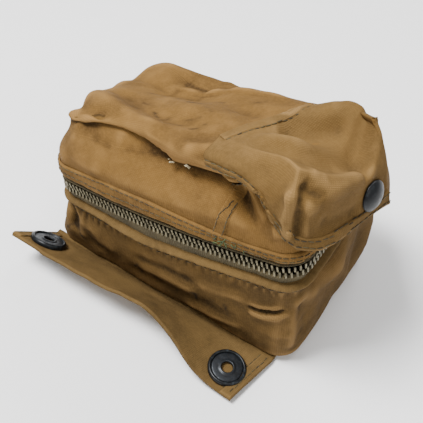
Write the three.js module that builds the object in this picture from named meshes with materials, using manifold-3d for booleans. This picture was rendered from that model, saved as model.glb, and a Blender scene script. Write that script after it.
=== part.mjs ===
// Zippered canvas mail pouch: a boxed cloth bag with a metal zip round three sides,
// a press-stud flange on its bottom front edge and a boxed hood over its right end.
// Millimetres, +Z up. The origin is the centre of the base, X runs along the front.
import * as THREE from 'three';
import { mergeVertices } from 'three/addons/utils/BufferGeometryUtils.js';
import Module from 'manifold-3d';

const wasm = await Module();
wasm.setup();

// ---------- driving dimensions ----------
const pouch = {
  left: -62, right: 66,           // ends at the base
  front: -40, back: 38,           // long sides at the base
  corner: 13,                     // plan radius of the corners
  leftTuck: 8,                    // how far the left end steps in below the zip
  leftLean: 8,                    // and again above it
  rightLean: 3,
  backLean: 12,
  frontLean: 2,
  bow: 3,                         // the front bulges this far at mid-length
  topLeft: 84, topSlope: 0.19,    // height over the base at x = left, and its rise along X
  topFall: 0.16,                  // fall of the top from front to back
  shoulder: 12,                   // rounding between walls and top
};
const cloth = 1.6;                // doubled canvas
const gap = 0.35;                 // between touching pieces
const zip = {
  height: 54, slope: 0.172,       // chain centre over the base at x = 0, and its rise along X
  pitch: 2.1,
  toothTip: 0.7, toothRoot: 1.3,  // interleaved tips and valleys, from the chain's centre
  rowBase: 3.3,                   // outer edge of a closed row, from the chain's centre
  rowThick: 2.4,
  tapeThick: 1, tapeWidth: 9.5,
  openHalf: 1.9,                  // each row's shift where the chain is open
  leftEnd: 18, rightEnd: 16,      // from the back to the chain's two ends
};
// the tapes lie behind the cloth, and the rows are centred on them
const rowDepth = cloth + gap + zip.tapeThick / 2;
const facing = { low: 4.2, lowOpen: 6.4, high: 13.7 };
const welt = { high: 9, low: 11.6, proud: 1.2 };
const hingeZ = 54;                // cloth hinge of the upper half, on the back wall
const slider = {
  travel: 22, stopClear: 3.5, throat: 4,
  length: 9, plate: 1.4, clear: 0.3, diamond: 1.6, lip: 0.8,
  cut: 1.5,                       // cut corners of its plates' closed end
  bailOut: 3.1, bailWide: 0.8,    // half length and half width of the bail
  bailBar: 1, bailHigh: 3, bailThick: 0.8,
  sunk: 0.2,                      // joined solids reach this far into each other
};
const pull = {
  length: 20, width: 5.2, thick: 1.1,
  behind: 0.6, cut: 1, endCut: 2, // behind the bail's bar, and the cut corners at its two ends
  eyeFrom: 0.7, eyeTo: 4.3, eyeHalf: 1.2,
};
const flange = {
  width: 26, ahead: 1, rootZ: 2.4, hem: 4.5,
  leftIn: 0, rightIn: 6,          // from the pouch's ends to the flange's ends, at its root
  skew: 5,                        // its outer edge lies this far to the left of its root
  raiseLeft: 42, raiseRight: 3,   // degrees above the ground at the two ends
  turnFrom: 6,                    // x where it starts to turn down, to lie flat under the right socket
};
const socket = {
  r: 8.25, rim: 1.3, height: 2.2, bevel: 0.5,
  hole: 2.5, innerThick: 0.8, backR: 7.2, backThick: 0.9,
  inset: 10.5,                    // from the flange's end and its outer edge
};
const cap = {
  r: 6, height: 2.6, brim: 0.6, steps: 5, post: 2.2, socketR: 5, socketThick: 1.8,
  u: 0.74, v: 0.27,               // its place along and up the hood's end
};
const stud = {
  r: 2, height: 2.6, neck: 0.6, bulge: 0.25, tip: 0.4, foot: 0.8, fillet: 0.2,
  washerHole: 1.4, washerThick: 0.8,
  mateIn: 30,                     // from the pouch's front
};
const seamX = 31;                 // felled seam of the upper front panel

// Hood: corners of its facets, from the pouch's right end, its front and its top
const hood = {
  tip: [-40.5, -0.6, 6.3],
  tipLow: [-39, -1.2, 0.4],
  nearTop: [-7, 2.5, 9.4],
  farTop: [-1, 47, 7.4],
  seamFar: [-26, 44, 5.2],
  nearHem: [-1.5, -3, -23.7],
  farHem: [14, 39, -26.7],
  backHem: [2, 52, -9.4],
  backTop: [-6, 47.5, 6.9],
  hem: 4.5,
  seam: 5,                        // width of the cross seam
  seamIn: 0.5, seamEnd: 1,        // its margins
  seamThick: 0.9,
};

// ---------- materials ----------
const canvasTan = new THREE.MeshStandardMaterial({ color: 0x8a7350, roughness: 0.95, metalness: 0 });
const canvasDark = new THREE.MeshStandardMaterial({ color: 0x75613f, roughness: 0.95, metalness: 0 });
const tapeOlive = new THREE.MeshStandardMaterial({ color: 0x5e5a44, roughness: 0.9, metalness: 0 });
const zipMetal = new THREE.MeshStandardMaterial({ color: 0x8d8a78, roughness: 0.4, metalness: 0.9 });
const blackOxide = new THREE.MeshStandardMaterial({ color: 0x1b1c1e, roughness: 0.35, metalness: 0.7 });
const slateSteel = new THREE.MeshStandardMaterial({ color: 0x565a5c, roughness: 0.45, metalness: 0.7 });

const group = new THREE.Group();

// ---------- helpers ----------
const smooth = (t) => {
  const c = Math.min(1, Math.max(0, t));
  return c * c * (3 - 2 * c);
};
const mix = (a, b, t) => a + (b - a) * t;

// merges a geometry's vertices and turns its faces outwards
function closed(geometry) {
  geometry.deleteAttribute('normal');
  geometry.deleteAttribute('uv');
  const merged = mergeVertices(geometry, 1e-4);
  const p = merged.attributes.position;
  const index = merged.index.array;
  const [a, b, c] = [new THREE.Vector3(), new THREE.Vector3(), new THREE.Vector3()];
  let volume = 0;
  for (let i = 0; i < index.length; i += 3) {
    a.fromBufferAttribute(p, index[i]);
    b.fromBufferAttribute(p, index[i + 1]);
    c.fromBufferAttribute(p, index[i + 2]);
    volume += a.dot(b.cross(c));
  }
  if (volume < 0) {
    for (let i = 0; i < index.length; i += 3) [index[i], index[i + 1]] = [index[i + 1], index[i]];
  }
  return merged;
}

function add(name, geometry, material) {
  geometry.computeVertexNormals();
  const mesh = new THREE.Mesh(geometry, material);
  mesh.name = name;
  group.add(mesh);
  return mesh;
}

function solid(geometry) {
  const g = closed(geometry);
  return new wasm.Manifold(new wasm.Mesh({
    numProp: 3, vertProperties: g.attributes.position.array, triVerts: Uint32Array.from(g.index.array),
  }));
}

function fromSolid(manifold) {
  const mesh = manifold.getMesh();
  const g = new THREE.BufferGeometry();
  g.setAttribute('position', new THREE.BufferAttribute(Float32Array.from(mesh.vertProperties), 3));
  g.setIndex(Array.from(mesh.triVerts));
  return g;
}

// A box bent onto a surface: u and v run over the surface, and the thickness runs along its
// normal from the offset low to the offset high. grid gives the steps along u and v.
function bent(surface, uAt, vAt, low, high, grid) {
  const g = new THREE.BoxGeometry(1, 1, 1, grid[0], grid[1], 1);
  const p = g.attributes.position;
  const e = 1e-3;
  for (let i = 0; i < p.count; i++) {
    const [a, b, c] = [p.getX(i) + 0.5, p.getY(i) + 0.5, p.getZ(i) + 0.5];
    const u = uAt(a, b);
    const v = vAt(a, b);
    const point = surface(u, v);
    const du = surface(u + e, v).sub(surface(u - e, v));
    const dv = surface(u, v + e).sub(surface(u, v - e));
    const n = du.cross(dv).normalize();
    const offLow = typeof low === 'function' ? low(a, b) : low;
    const offHigh = typeof high === 'function' ? high(a, b) : high;
    point.addScaledVector(n, mix(offLow, offHigh, c));
    p.setXYZ(i, point.x, point.y, point.z);
  }
  return closed(g);
}

// ---------- the pouch's wall ----------
function ring(z) {
  const tuckTop = zipZ(pouch.left + pouch.leftTuck);
  return {
    left: pouch.left + pouch.leftTuck * smooth(z / (tuckTop - welt.low))
      + pouch.leftLean * smooth((z - tuckTop - facing.high) / 30),
    right: pouch.right - pouch.rightLean * smooth((z - 60) / 40),
    front: pouch.front + pouch.frontLean * smooth((z - 62) / 30),
    back: pouch.back - pouch.backLean * smooth((z - hingeZ) / 30),
  };
}

function zipZ(x) {
  return zip.height + zip.slope * x;
}

// s counts sides from the front left corner: 0 front, 1 right end, 2 back, 3 left end
function wall(s, z) {
  const r = ring(z);
  const c = pouch.corner;
  const whole = Math.floor(s);
  const k = ((whole % 4) + 4) % 4;
  const length = k % 2 === 0 ? r.right - r.left : r.back - r.front;
  const arc = c * Math.PI / 4;
  const d = (s - whole) * (length - 2 * c + 2 * arc);
  let along, out;
  if (d < arc) {
    const a = Math.PI / 4 - d / c;
    [along, out] = [c - c * Math.sin(a), -c + c * Math.cos(a)];
  } else if (d > arc + length - 2 * c) {
    const a = (d - arc - length + 2 * c) / c;
    [along, out] = [length - c + c * Math.sin(a), -c + c * Math.cos(a)];
  } else {
    [along, out] = [c + d - arc, 0];
  }
  if (k === 0) {
    const bow = pouch.bow * smooth(z / 25) * (1 - 0.6 * smooth((z - 62) / 30));
    return new THREE.Vector3(r.left + along, r.front - out - bow * Math.sin(Math.PI * (s - whole)), z);
  }
  if (k === 1) return new THREE.Vector3(r.right + out, r.front + along, z);
  if (k === 2) return new THREE.Vector3(r.right - along, r.back + out, z);
  return new THREE.Vector3(r.left - out, r.back - along, z);
}

// s where the wall at a side reaches a coordinate
function sAt(side, axis, value, z) {
  let [a, b] = [side, side + 1 - 1e-6];
  const rising = wall(b, z)[axis] > wall(a, z)[axis];
  for (let i = 0; i < 40; i++) {
    const m = (a + b) / 2;
    if ((wall(m, z)[axis] < value) === rising) a = m;
    else b = m;
  }
  return (a + b) / 2;
}

// height of the chain's centre at s, solved on the wall
function zipHeight(s) {
  let z = zip.height;
  for (let i = 0; i < 8; i++) z = zipZ(wall(s, z).x);
  return z;
}

// the seam between lower and upper halves: the chain, then up or down to the cloth hinge
const zipLeft = zipZ(pouch.left + pouch.leftTuck);
const zipStart = sAt(-1, 'y', pouch.back - zip.leftEnd, zipLeft);
const zipEnd = sAt(1, 'y', pouch.back - zip.rightEnd, zipZ(pouch.right));
const sliderY = pouch.back - zip.leftEnd - slider.stopClear - slider.travel - slider.length / 2;
const sliderS = sAt(-1, 'y', sliderY, zipLeft);
const sliderRearS = sAt(-1, 'y', sliderY - slider.length / 2 - slider.throat, zipLeft);
function splitZ(s) {
  if (s > zipEnd) return mix(zipHeight(zipEnd), hingeZ, smooth((s - zipEnd) / (1.93 - zipEnd)));
  if (s < zipStart) return mix(zipHeight(zipStart), hingeZ, smooth((zipStart - s) / (zipStart + 0.93)));
  return zipHeight(s);
}
// 1 along the chain, 0 on the cloth-hinge part, easing over a few millimetres
const fade = 0.12;
const alongZip = (s) => smooth((zipEnd + fade - s) / fade) * smooth((s - zipStart + fade) / fade);

function topHeight(x, y) {
  return pouch.topLeft + pouch.topSlope * (x - pouch.left) - pouch.topFall * (y - pouch.front);
}
function rimZ(s) {
  let z = 90;
  for (let i = 0; i < 8; i++) {
    const p = wall(s, z);
    z = topHeight(p.x, p.y) - pouch.shoulder;
  }
  return z;
}

const joint = gap / 2 / 80;       // half the gap between panels, in sides

const zipMarks = [zipStart - fade, zipStart, sliderS, sliderRearS, zipEnd, zipEnd + fade];
const closest = 0.02;             // grid lines closer than this, in sides, merge

// places along the wall from s0 to s1: short steps round the corners, long ones between
// them, and one at each end of the zip, of its fade beyond, and of the slider's throat
function places(s0, s1, long = 10) {
  const r = ring(hingeZ);
  const marks = [s0, s1, ...zipMarks];
  for (let side = Math.floor(s0); side < s1; side++) {
    const length = (side % 2 === 0 ? r.right - r.left : r.back - r.front) - 2 * pouch.corner;
    const arc = pouch.corner * Math.PI / 4 / (length + pouch.corner * Math.PI / 2);
    const straight = Math.max(1, Math.round(length / long));
    for (let i = 0; i < 3; i++) marks.push(side + arc * i / 3, side + 1 - arc * i / 3);
    for (let i = 0; i <= straight; i++) marks.push(side + mix(arc, 1 - arc, i / straight));
  }
  const kept = marks.filter((m) => m >= s0 && m <= s1).sort((a, b) => a - b);
  const fixed = (m) => m === s0 || m === s1 || zipMarks.includes(m);
  const crowded = (m, i) => kept.some(
    (o, j) => j !== i && Math.abs(o - m) < closest && (fixed(o) || j < i));
  return kept.filter((m, i) => fixed(m) || !crowded(m, i));
}

function wallPanel(name, s0, s1, lowAt, highAt, rows, material, low = -cloth, high = 0) {
  const list = places(s0 + joint, s1 - joint);
  const u = (a) => list[Math.round(a * (list.length - 1))];
  const g = bent(wall, u, (a, b) => mix(lowAt(u(a)), highAt(u(a)), b), low, high, [list.length - 1, rows]);
  return add(name, g, material);
}

// ---------- lower half ----------
const baseTop = cloth;
{
  const outline = new THREE.Shape();
  for (const [i, s] of places(0, 4).slice(0, -1).entries()) {
    const p = wall(s, 0);
    if (i === 0) outline.moveTo(p.x, p.y);
    else outline.lineTo(p.x, p.y);
  }
  const sheet = new THREE.ExtrudeGeometry(outline, { depth: baseTop, bevelEnabled: false });
  add('base_panel', closed(sheet), canvasDark);
}
const lowerLow = () => baseTop + gap;
const lowerHigh = (s) => splitZ(s) - mix(gap / 2, welt.low + gap, alongZip(s));
wallPanel('front_lower_panel', 0, 1, lowerLow, lowerHigh, 4, canvasTan);
wallPanel('right_end_lower_panel', 1, 2, lowerLow, lowerHigh, 4, canvasTan);
wallPanel('back_lower_panel', 2, 3, lowerLow, () => hingeZ - gap / 2, 4, canvasTan);
wallPanel('left_end_lower_panel', -1, 0, lowerLow, lowerHigh, 4, canvasTan);

// ---------- zip ----------
const zipS = [];
{
  let length = 0;
  let last = null;
  for (let i = 0; i <= 2000; i++) {
    const s = mix(zipStart, zipEnd, i / 2000);
    const p = wall(s, zipHeight(s));
    if (last) length += p.distanceTo(last);
    last = p;
    zipS.push([length, s]);
  }
}
const zipLength = zipS[zipS.length - 1][0];
function sAtDistance(d) {
  const i = Math.min(zipS.length - 2, Math.max(0, zipS.findIndex((e) => e[0] >= d) - 1));
  const t = (d - zipS[i][0]) / (zipS[i + 1][0] - zipS[i][0]);
  return mix(zipS[i][1], zipS[i + 1][1], t);
}
// how far each row stands off the chain's centre line: closed behind the slider, open ahead
const openShift = (s) => zip.openHalf
  * THREE.MathUtils.clamp((sliderRearS - s) / (sliderRearS - sliderS), 0, 1);

const steps = Math.floor(zipLength / (zip.pitch / 2));
function teethRow(name, side) {
  const g = bent(
    wall,
    (a) => sAtDistance(a * steps * zip.pitch / 2),
    (a, b) => {
      const s = sAtDistance(a * steps * zip.pitch / 2);
      const tip = Math.round(a * steps) % 2 === (side > 0 ? 0 : 1);
      const inner = tip ? -zip.toothTip : zip.toothRoot;
      const [edge, base] = [inner + openShift(s), zip.rowBase + openShift(s)];
      const z = side > 0 ? mix(edge, base, b) : mix(-base, -edge, b);
      return zipHeight(s) + z;
    },
    -rowDepth - zip.rowThick / 2, -rowDepth + zip.rowThick / 2, [steps, 1],
  );
  return add(name, g, zipMetal);
}
teethRow('lower_teeth_row', -1);
teethRow('upper_teeth_row', 1);

function zipBand(name, side, nearAt, farAt, low, high, material) {
  const list = places(zipStart, zipEnd);
  const u = (a) => list[Math.round(a * (list.length - 1))];
  const g = bent(wall, u, (a, b) => {
    const s = u(a);
    const [near, far] = [nearAt(s), farAt(s)];
    return zipHeight(s) + (side > 0 ? mix(near, far, b) : mix(-far, -near, b));
  }, low, high, [list.length - 1, 1]);
  return add(name, g, material);
}
const tapeNear = (s) => zip.rowBase + gap + openShift(s);
const tapeFar = () => zip.rowBase + zip.tapeWidth;
const tapeLow = -rowDepth - zip.tapeThick / 2;
const tapeHigh = -rowDepth + zip.tapeThick / 2;
zipBand('lower_zip_tape', -1, tapeNear, tapeFar, tapeLow, tapeHigh, tapeOlive);
zipBand('upper_zip_tape', 1, tapeNear, tapeFar, tapeLow, tapeHigh, tapeOlive);
zipBand('lower_welt', -1, () => welt.high, () => welt.low, -cloth, welt.proud, canvasTan);
// crimped stops: one at the top end of each row, and one at the bottom end on the lower row
function stop(name, side, s0, s1) {
  const z = (s, v) => zipHeight(s) + side * openShift(s) + v;
  const [near, far] = [zip.toothTip + 0.4, zip.rowBase];
  const [low, high] = side > 0 ? [near, far] : [-far, -near];
  add(name, bent(wall, (a) => mix(s0, s1, a), (a, b) => z(mix(s0, s1, a), mix(low, high, b)),
    -rowDepth - zip.rowThick / 2 - 0.3, -rowDepth + zip.rowThick / 2 + 0.3, [1, 1]), zipMetal);
}
const stopSize = 0.028;           // length of a stop, in sides of the wall
stop('lower_top_stop', -1, zipStart - joint * 3 - stopSize, zipStart - joint * 3);
stop('upper_top_stop', 1, zipStart - joint * 3 - stopSize, zipStart - joint * 3);
stop('bottom_stop', -1, zipEnd + joint * 3, zipEnd + joint * 3 + stopSize);
const facingNear = (s) => mix(facing.low, facing.lowOpen, smooth((sliderRearS + 0.1 - s) / 0.1));
zipBand('upper_zip_facing', 1, facingNear, () => facing.high, -cloth, 0, canvasTan);

// ---------- upper half ----------
const upperLow = (s) => splitZ(s) + mix(gap / 2, facing.high + gap, alongZip(s));
const upperHigh = (s) => rimZ(s) - gap / 2;
const seamS = sAt(0, 'x', seamX, 80);
wallPanel('front_upper_left_panel', 0, seamS, upperLow, upperHigh, 3, canvasTan);
wallPanel('front_upper_right_panel', seamS, 1, upperLow, upperHigh, 3, canvasTan);
wallPanel('right_end_upper_panel', 1, 2, upperLow, upperHigh, 3, canvasTan);
wallPanel('back_upper_panel', 2, 3, () => hingeZ + gap / 2, upperHigh, 3, canvasTan);
wallPanel('left_end_upper_panel', -1, 0, upperLow, upperHigh, 3, canvasTan);
wallPanel('felled_seam_strip', seamS - 0.03, seamS + 0.03, (s) => upperLow(s) + 1, (s) => upperHigh(s) - 1,
  4, canvasTan, gap, gap + 0.9);

// the top: concentric rounded rings from the rim to the crown
const crown = new THREE.Vector3((pouch.left + pouch.right) / 2 + 6, (pouch.front + pouch.back) / 2 - 4, 0);
function topPoint(p, q) {
  const r = Math.max(Math.abs(p), Math.abs(q), 1e-6);
  const [a, b] = [p / r, q / r];
  let s;
  if (b <= -1 + 1e-9) s = (a + 1) / 2;
  else if (a >= 1 - 1e-9) s = 1 + (b + 1) / 2;
  else if (b >= 1 - 1e-9) s = 2 + (1 - a) / 2;
  else s = 3 + (1 - b) / 2;
  const rim = wall(s, rimZ(s % 4));
  const x = mix(crown.x, rim.x, r);
  const y = mix(crown.y, rim.y, r);
  const edge = Math.min(1, Math.max(0, (r - 0.72) / 0.28));
  const drop = pouch.shoulder * (1 - Math.sqrt(Math.max(0, 1 - edge * edge)));
  return new THREE.Vector3(x, y, topHeight(x, y) - drop);
}
{
  const g = new THREE.BoxGeometry(2, 2, 1, 14, 10, 1);
  const p = g.attributes.position;
  for (let i = 0; i < p.count; i++) {
    const point = topPoint(p.getX(i), p.getY(i));
    const down = p.getZ(i) < 0 ? cloth : 0;
    const r = Math.max(Math.abs(p.getX(i)), Math.abs(p.getY(i)));
    // the rim's underside steps inwards, so that the slab keeps its thickness on the shoulder
    const inset = down * smooth((r - 0.7) / 0.3);
    const toCentre = crown.clone().sub(point).setZ(0).normalize();
    point.addScaledVector(toCentre, inset);
    p.setXYZ(i, point.x, point.y, point.z + gap / 2 - down * (1 - smooth((r - 0.7) / 0.3)));
  }
  add('top_panel', closed(g), canvasTan);
}

// ---------- hood ----------
const V = (a) => new THREE.Vector3(...a);
// a corner of the hood, placed from the pouch's right end, its front and its top
function hoodCorner(name) {
  const [dx, dy, dz] = hood[name];
  const [x, y] = [pouch.right + dx, pouch.front + dy];
  return [x, y, topHeight(x, y) + dz];
}
// a bilinear sheet through four corners, in order round its edge
function sheet(corners, bulge = 0) {
  const [a, b, c, d] = corners.map(V);
  const flat = b.clone().sub(a).cross(d.clone().sub(a)).normalize();
  const surface = (u, v) => a.clone().lerp(b, u).lerp(d.clone().lerp(c, u), v)
    .addScaledVector(flat, bulge * Math.sin(Math.PI * u) * Math.sin(Math.PI * v));
  surface.width = (a.distanceTo(b) + d.distanceTo(c)) / 2;
  surface.heightAt = (u) => a.clone().lerp(b, u).distanceTo(d.clone().lerp(c, u));
  return surface;
}
// a slab of a sheet, set in from its left, right, low and high edges by millimetres
function facet(surface, [left, right, low, high], grid, under = -cloth, over = 0) {
  const u = (a) => mix(left / surface.width, 1 - right / surface.width, a);
  const v = (a, b) => mix(low / surface.heightAt(u(a)), 1 - high / surface.heightAt(u(a)), b);
  return bent(surface, u, v, under, over, grid);
}
const corner = cloth + gap;       // a facet stops this short of the facet that overlaps its edge
const hemTop = hood.hem + gap;
const hoodSheet = (names, bulge) => sheet(names.map(hoodCorner), bulge);
const hoodTop = hoodSheet(['tip', 'nearTop', 'farTop', 'seamFar'], 1);
const hoodFront = hoodSheet(['tipLow', 'nearHem', 'nearTop', 'tip']);
const hoodEnd = hoodSheet(['nearHem', 'farHem', 'farTop', 'nearTop']);
const hoodBack = hoodSheet(['farHem', 'backHem', 'backTop', 'farTop']);
add('hood_top_panel', facet(hoodTop, [0, 0, 0, 0], [8, 8]), canvasTan);
add('hood_front_panel', facet(hoodFront, [8, corner, hemTop, corner], [8, 4]), canvasTan);
add('hood_back_panel', facet(hoodBack, [corner + 2.5, 0, 0, corner], [4, 3]), canvasTan);
const hemBand = (surface, left, right) => {
  const u = (a) => mix(left / surface.width, 1 - right / surface.width, a);
  return bent(surface, u, (a, b) => b * hood.hem / surface.heightAt(u(a)), -cloth, 0, [8, 1]);
};
add('hood_front_hem', hemBand(hoodFront, 6, corner + 0.4), canvasTan);
add('hood_end_hem', hemBand(hoodEnd, 0, 0), canvasTan);
const seamSpan = [hood.seamIn, hoodTop.width - hood.seam, hood.seamEnd, hood.seamEnd];
add('cross_seam_tape', facet(hoodTop, seamSpan, [1, 8], gap, gap + hood.seamThick), canvasTan);

// ---------- hood press stud ----------
// a frame on a surface: Y runs along the surface's normal, X along its first direction
function frameOn(surface, u, v) {
  const e = 1e-3;
  const du = surface(u + e, v).sub(surface(u - e, v));
  const dv = surface(u, v + e).sub(surface(u, v - e));
  const n = du.clone().cross(dv).normalize();
  const x = du.normalize();
  return new THREE.Matrix4().makeBasis(x, n, x.clone().cross(n)).setPosition(surface(u, v));
}
const round = 28;                 // facets of a turned piece
const drillDeep = 12;             // longer than the cloth is thick
// a turned piece from a closed half profile of [radius, height] points
const turned = (profile, segments = round) => closed(
  new THREE.LatheGeometry(profile.map((q) => new THREE.Vector2(q[0], q[1])), segments));
const ringProfile = (inner, outer, low, high, bevel = 0) => [
  [inner, low], [outer, low], [outer, high - bevel], [outer - bevel, high], [inner, high], [inner, low],
];
const studFrame = frameOn(hoodEnd, cap.u, cap.v);
{
  const panel = solid(facet(hoodEnd, [0, 0, hemTop, corner], [8, 6]));
  const bore = cap.post + gap;
  const drill = new THREE.CylinderGeometry(bore, bore, drillDeep, round).applyMatrix4(studFrame);
  add('hood_end_panel', closed(fromSolid(panel.subtract(solid(drill)))), canvasTan);
  const foot = -cloth - cap.socketThick - gap;
  const dome = [[0, foot], [cap.post, foot], [cap.post, gap], [cap.r, gap]];
  for (let i = 1; i <= cap.steps; i++) {
    const a = (i / cap.steps) * Math.PI / 2;
    dome.push([cap.r * Math.cos(a), gap + cap.brim + (cap.height - cap.brim) * Math.sin(a)]);
  }
  dome[dome.length - 1][0] = 0;
  add('snap_cap', turned(dome).applyMatrix4(studFrame), blackOxide);
  const seat = -cloth - gap;
  const socketRing = ringProfile(bore, cap.socketR, seat - cap.socketThick, seat);
  add('snap_socket', turned(socketRing).applyMatrix4(studFrame), blackOxide);
}
// its mate on the pouch's right end, under the hood
{
  const mateS = sAt(1, 'y', pouch.front + stud.mateIn, zipZ(pouch.right));
  const mate = frameOn(wall, mateS, (zipHeight(mateS) + facing.high + rimZ(mateS)) / 2);
  const top = gap + stud.height;
  const profile = [
    [0, gap], [cap.socketR, gap], [cap.socketR, gap + stud.foot],
    [stud.r, gap + stud.foot + stud.fillet], [stud.r, top - stud.neck],
    [stud.r + stud.bulge, top - stud.neck / 2], [stud.r - stud.tip, top], [0, top],
  ];
  add('mating_stud', turned(profile).applyMatrix4(mate), blackOxide);
  const inner = -cloth - gap;
  const washer = ringProfile(stud.washerHole, cap.socketR, inner - stud.washerThick, inner);
  add('mating_stud_washer', turned(washer).applyMatrix4(mate), blackOxide);
}

// ---------- flange ----------
const flangeSpan = { left: pouch.left + flange.leftIn, right: pouch.right - flange.rightIn };
const flangeFlat = flangeSpan.right - socket.inset - socket.r;
function flangeAt(x, w) {
  const raise = THREE.MathUtils.degToRad(mix(
    flange.raiseLeft, flange.raiseRight, smooth((x - flange.turnFrom) / (flangeFlat - flange.turnFrom)),
  ));
  const out = w * Math.cos(raise);
  return new THREE.Vector3(
    x - flange.skew * w / flange.width, pouch.front - flange.ahead - out, flange.rootZ + w * Math.sin(raise),
  );
}
const flangeUp = (v, x) => flangeAt(x, v);
const flangeBand = (name, x0, x1, steps) => add(name, bent(
  flangeUp, (a, b) => b * flange.width, (a, b) => mix(x1, x0, a), -cloth, 0, [steps, 3]), canvasTan);
const hemsAt = { left: flangeSpan.left + flange.hem, right: flangeSpan.right - flange.hem };
flangeBand('flange_panel', hemsAt.left + gap, hemsAt.right - gap, 16);
flangeBand('flange_left_hem', flangeSpan.left, hemsAt.left, 1);
flangeBand('flange_right_hem', hemsAt.right, flangeSpan.right, 1);
const socketsAt = { left: flangeSpan.left + socket.inset, right: flangeSpan.right - socket.inset };
for (const [side, x] of Object.entries(socketsAt)) {
  const place = frameOn((v, u) => flangeAt(u, v), flange.width - socket.inset, x);
  const rimLow = gap + socket.innerThick;
  const top = gap + socket.height;
  const inside = socket.r - socket.rim;
  const ledge = inside - socket.rim;
  const plate = [
    [ledge, gap], [socket.r, gap], [socket.r, top - socket.bevel], [socket.r - socket.bevel, top],
    [inside, top], [inside, rimLow], [ledge, rimLow], [ledge, gap],
  ];
  add(`${side}_socket_plate`, turned(plate).applyMatrix4(place), blackOxide);
  const springLow = rimLow + gap;
  const inner = ringProfile(socket.hole, inside - gap, springLow, springLow + socket.innerThick);
  add(`${side}_socket_spring_plate`, turned(inner).applyMatrix4(place), slateSteel);
  const back = ringProfile(socket.hole, socket.backR, -cloth - gap - socket.backThick, -cloth - gap);
  add(`${side}_socket_clinch_ring`, turned(back).applyMatrix4(place), blackOxide);
}

// ---------- zip slider ----------
{
  const rowFace = -rowDepth + zip.rowThick / 2;
  const rowBack = -rowDepth - zip.rowThick / 2;
  const plateLow = rowFace + slider.clear;
  const innerHigh = rowBack - slider.clear;
  const half = zip.rowBase + zip.openHalf + slider.clear + slider.lip;
  const box = (x0, x1, y0, y1, z0, z1) => solid(
    new THREE.BoxGeometry(x1 - x0, y1 - y0, z1 - z0).translate((x0 + x1) / 2, (y0 + y1) / 2, (z0 + z1) / 2));
  const end = slider.length / 2;
  const cutEnd = -end + slider.cut;
  const open = half - slider.lip;
  const outline = new THREE.Shape();
  outline.moveTo(-end, -half + slider.cut);
  outline.lineTo(cutEnd, -half);
  outline.lineTo(end, -half);
  outline.lineTo(end, open);
  outline.lineTo(cutEnd, open);
  outline.lineTo(-end, open - slider.cut);
  const plate = (low) => solid(
    new THREE.ExtrudeGeometry(outline, { depth: slider.plate, bevelEnabled: false }).translate(0, 0, low));
  const lip = (z0, z1) => box(cutEnd, end, -half, -half + slider.lip, z0, z1);
  const { bailOut, bailWide, sunk } = slider;
  const face = plateLow + slider.plate;
  const bail = (x0, x1, z) => box(x0, x1, -bailWide, bailWide, z, face + slider.bailHigh);
  const wedge = slider.diamond / 2;
  const inset = slider.bailBar / 2;
  const body = plate(plateLow)
    .add(plate(innerHigh - slider.plate))
    .add(lip(tapeHigh + slider.clear, plateLow + sunk))
    .add(lip(innerHigh - sunk, tapeLow - slider.clear))
    .add(box(inset, end - inset, -wedge, wedge, innerHigh - sunk, plateLow + sunk))
    .add(bail(-bailOut, -bailOut + slider.bailBar, face - sunk))
    .add(bail(bailOut - slider.bailBar, bailOut, face - sunk))
    .add(bail(-bailOut, bailOut, face + slider.bailHigh - slider.bailThick));
  // X along the travel, Y up, Z out of the wall
  const place = new THREE.Matrix4().makeBasis(V([0, 1, 0]), V([0, 0, 1]), V([-1, 0, 0]))
    .setPosition(wall(sliderS, zipLeft).x, sliderY, zipLeft);
  add('slider_body', closed(fromSolid(body).applyMatrix4(place)), zipMetal);

  const pullLow = face + gap;
  const tab = new THREE.Shape();
  const w = pull.width / 2;
  const tip = pull.length - pull.endCut;
  tab.moveTo(-pull.behind, -w + pull.cut);
  tab.lineTo(pull.cut - pull.behind, -w);
  tab.lineTo(tip, -w);
  tab.lineTo(pull.length, -w + pull.endCut);
  tab.lineTo(pull.length, w - pull.endCut);
  tab.lineTo(tip, w);
  tab.lineTo(pull.cut - pull.behind, w);
  tab.lineTo(-pull.behind, w - pull.cut);
  const eye = new THREE.Path();
  eye.moveTo(pull.eyeFrom, -pull.eyeHalf);
  eye.lineTo(pull.eyeFrom, pull.eyeHalf);
  eye.lineTo(pull.eyeTo, pull.eyeHalf);
  eye.lineTo(pull.eyeTo, -pull.eyeHalf);
  tab.holes.push(eye);
  const tabGeometry = new THREE.ExtrudeGeometry(tab, { depth: pull.thick, bevelEnabled: false });
  add('pull_tab', closed(tabGeometry.translate(0, 0, pullLow).applyMatrix4(place)), zipMetal);
}

export default group;
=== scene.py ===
"""Zippered canvas pouch with a press-stud flange and a boxed hood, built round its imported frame."""
import math

import bmesh
import bpy
import numpy as np
from mathutils import Matrix, Vector
from mathutils.bvhtree import BVHTree


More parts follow.
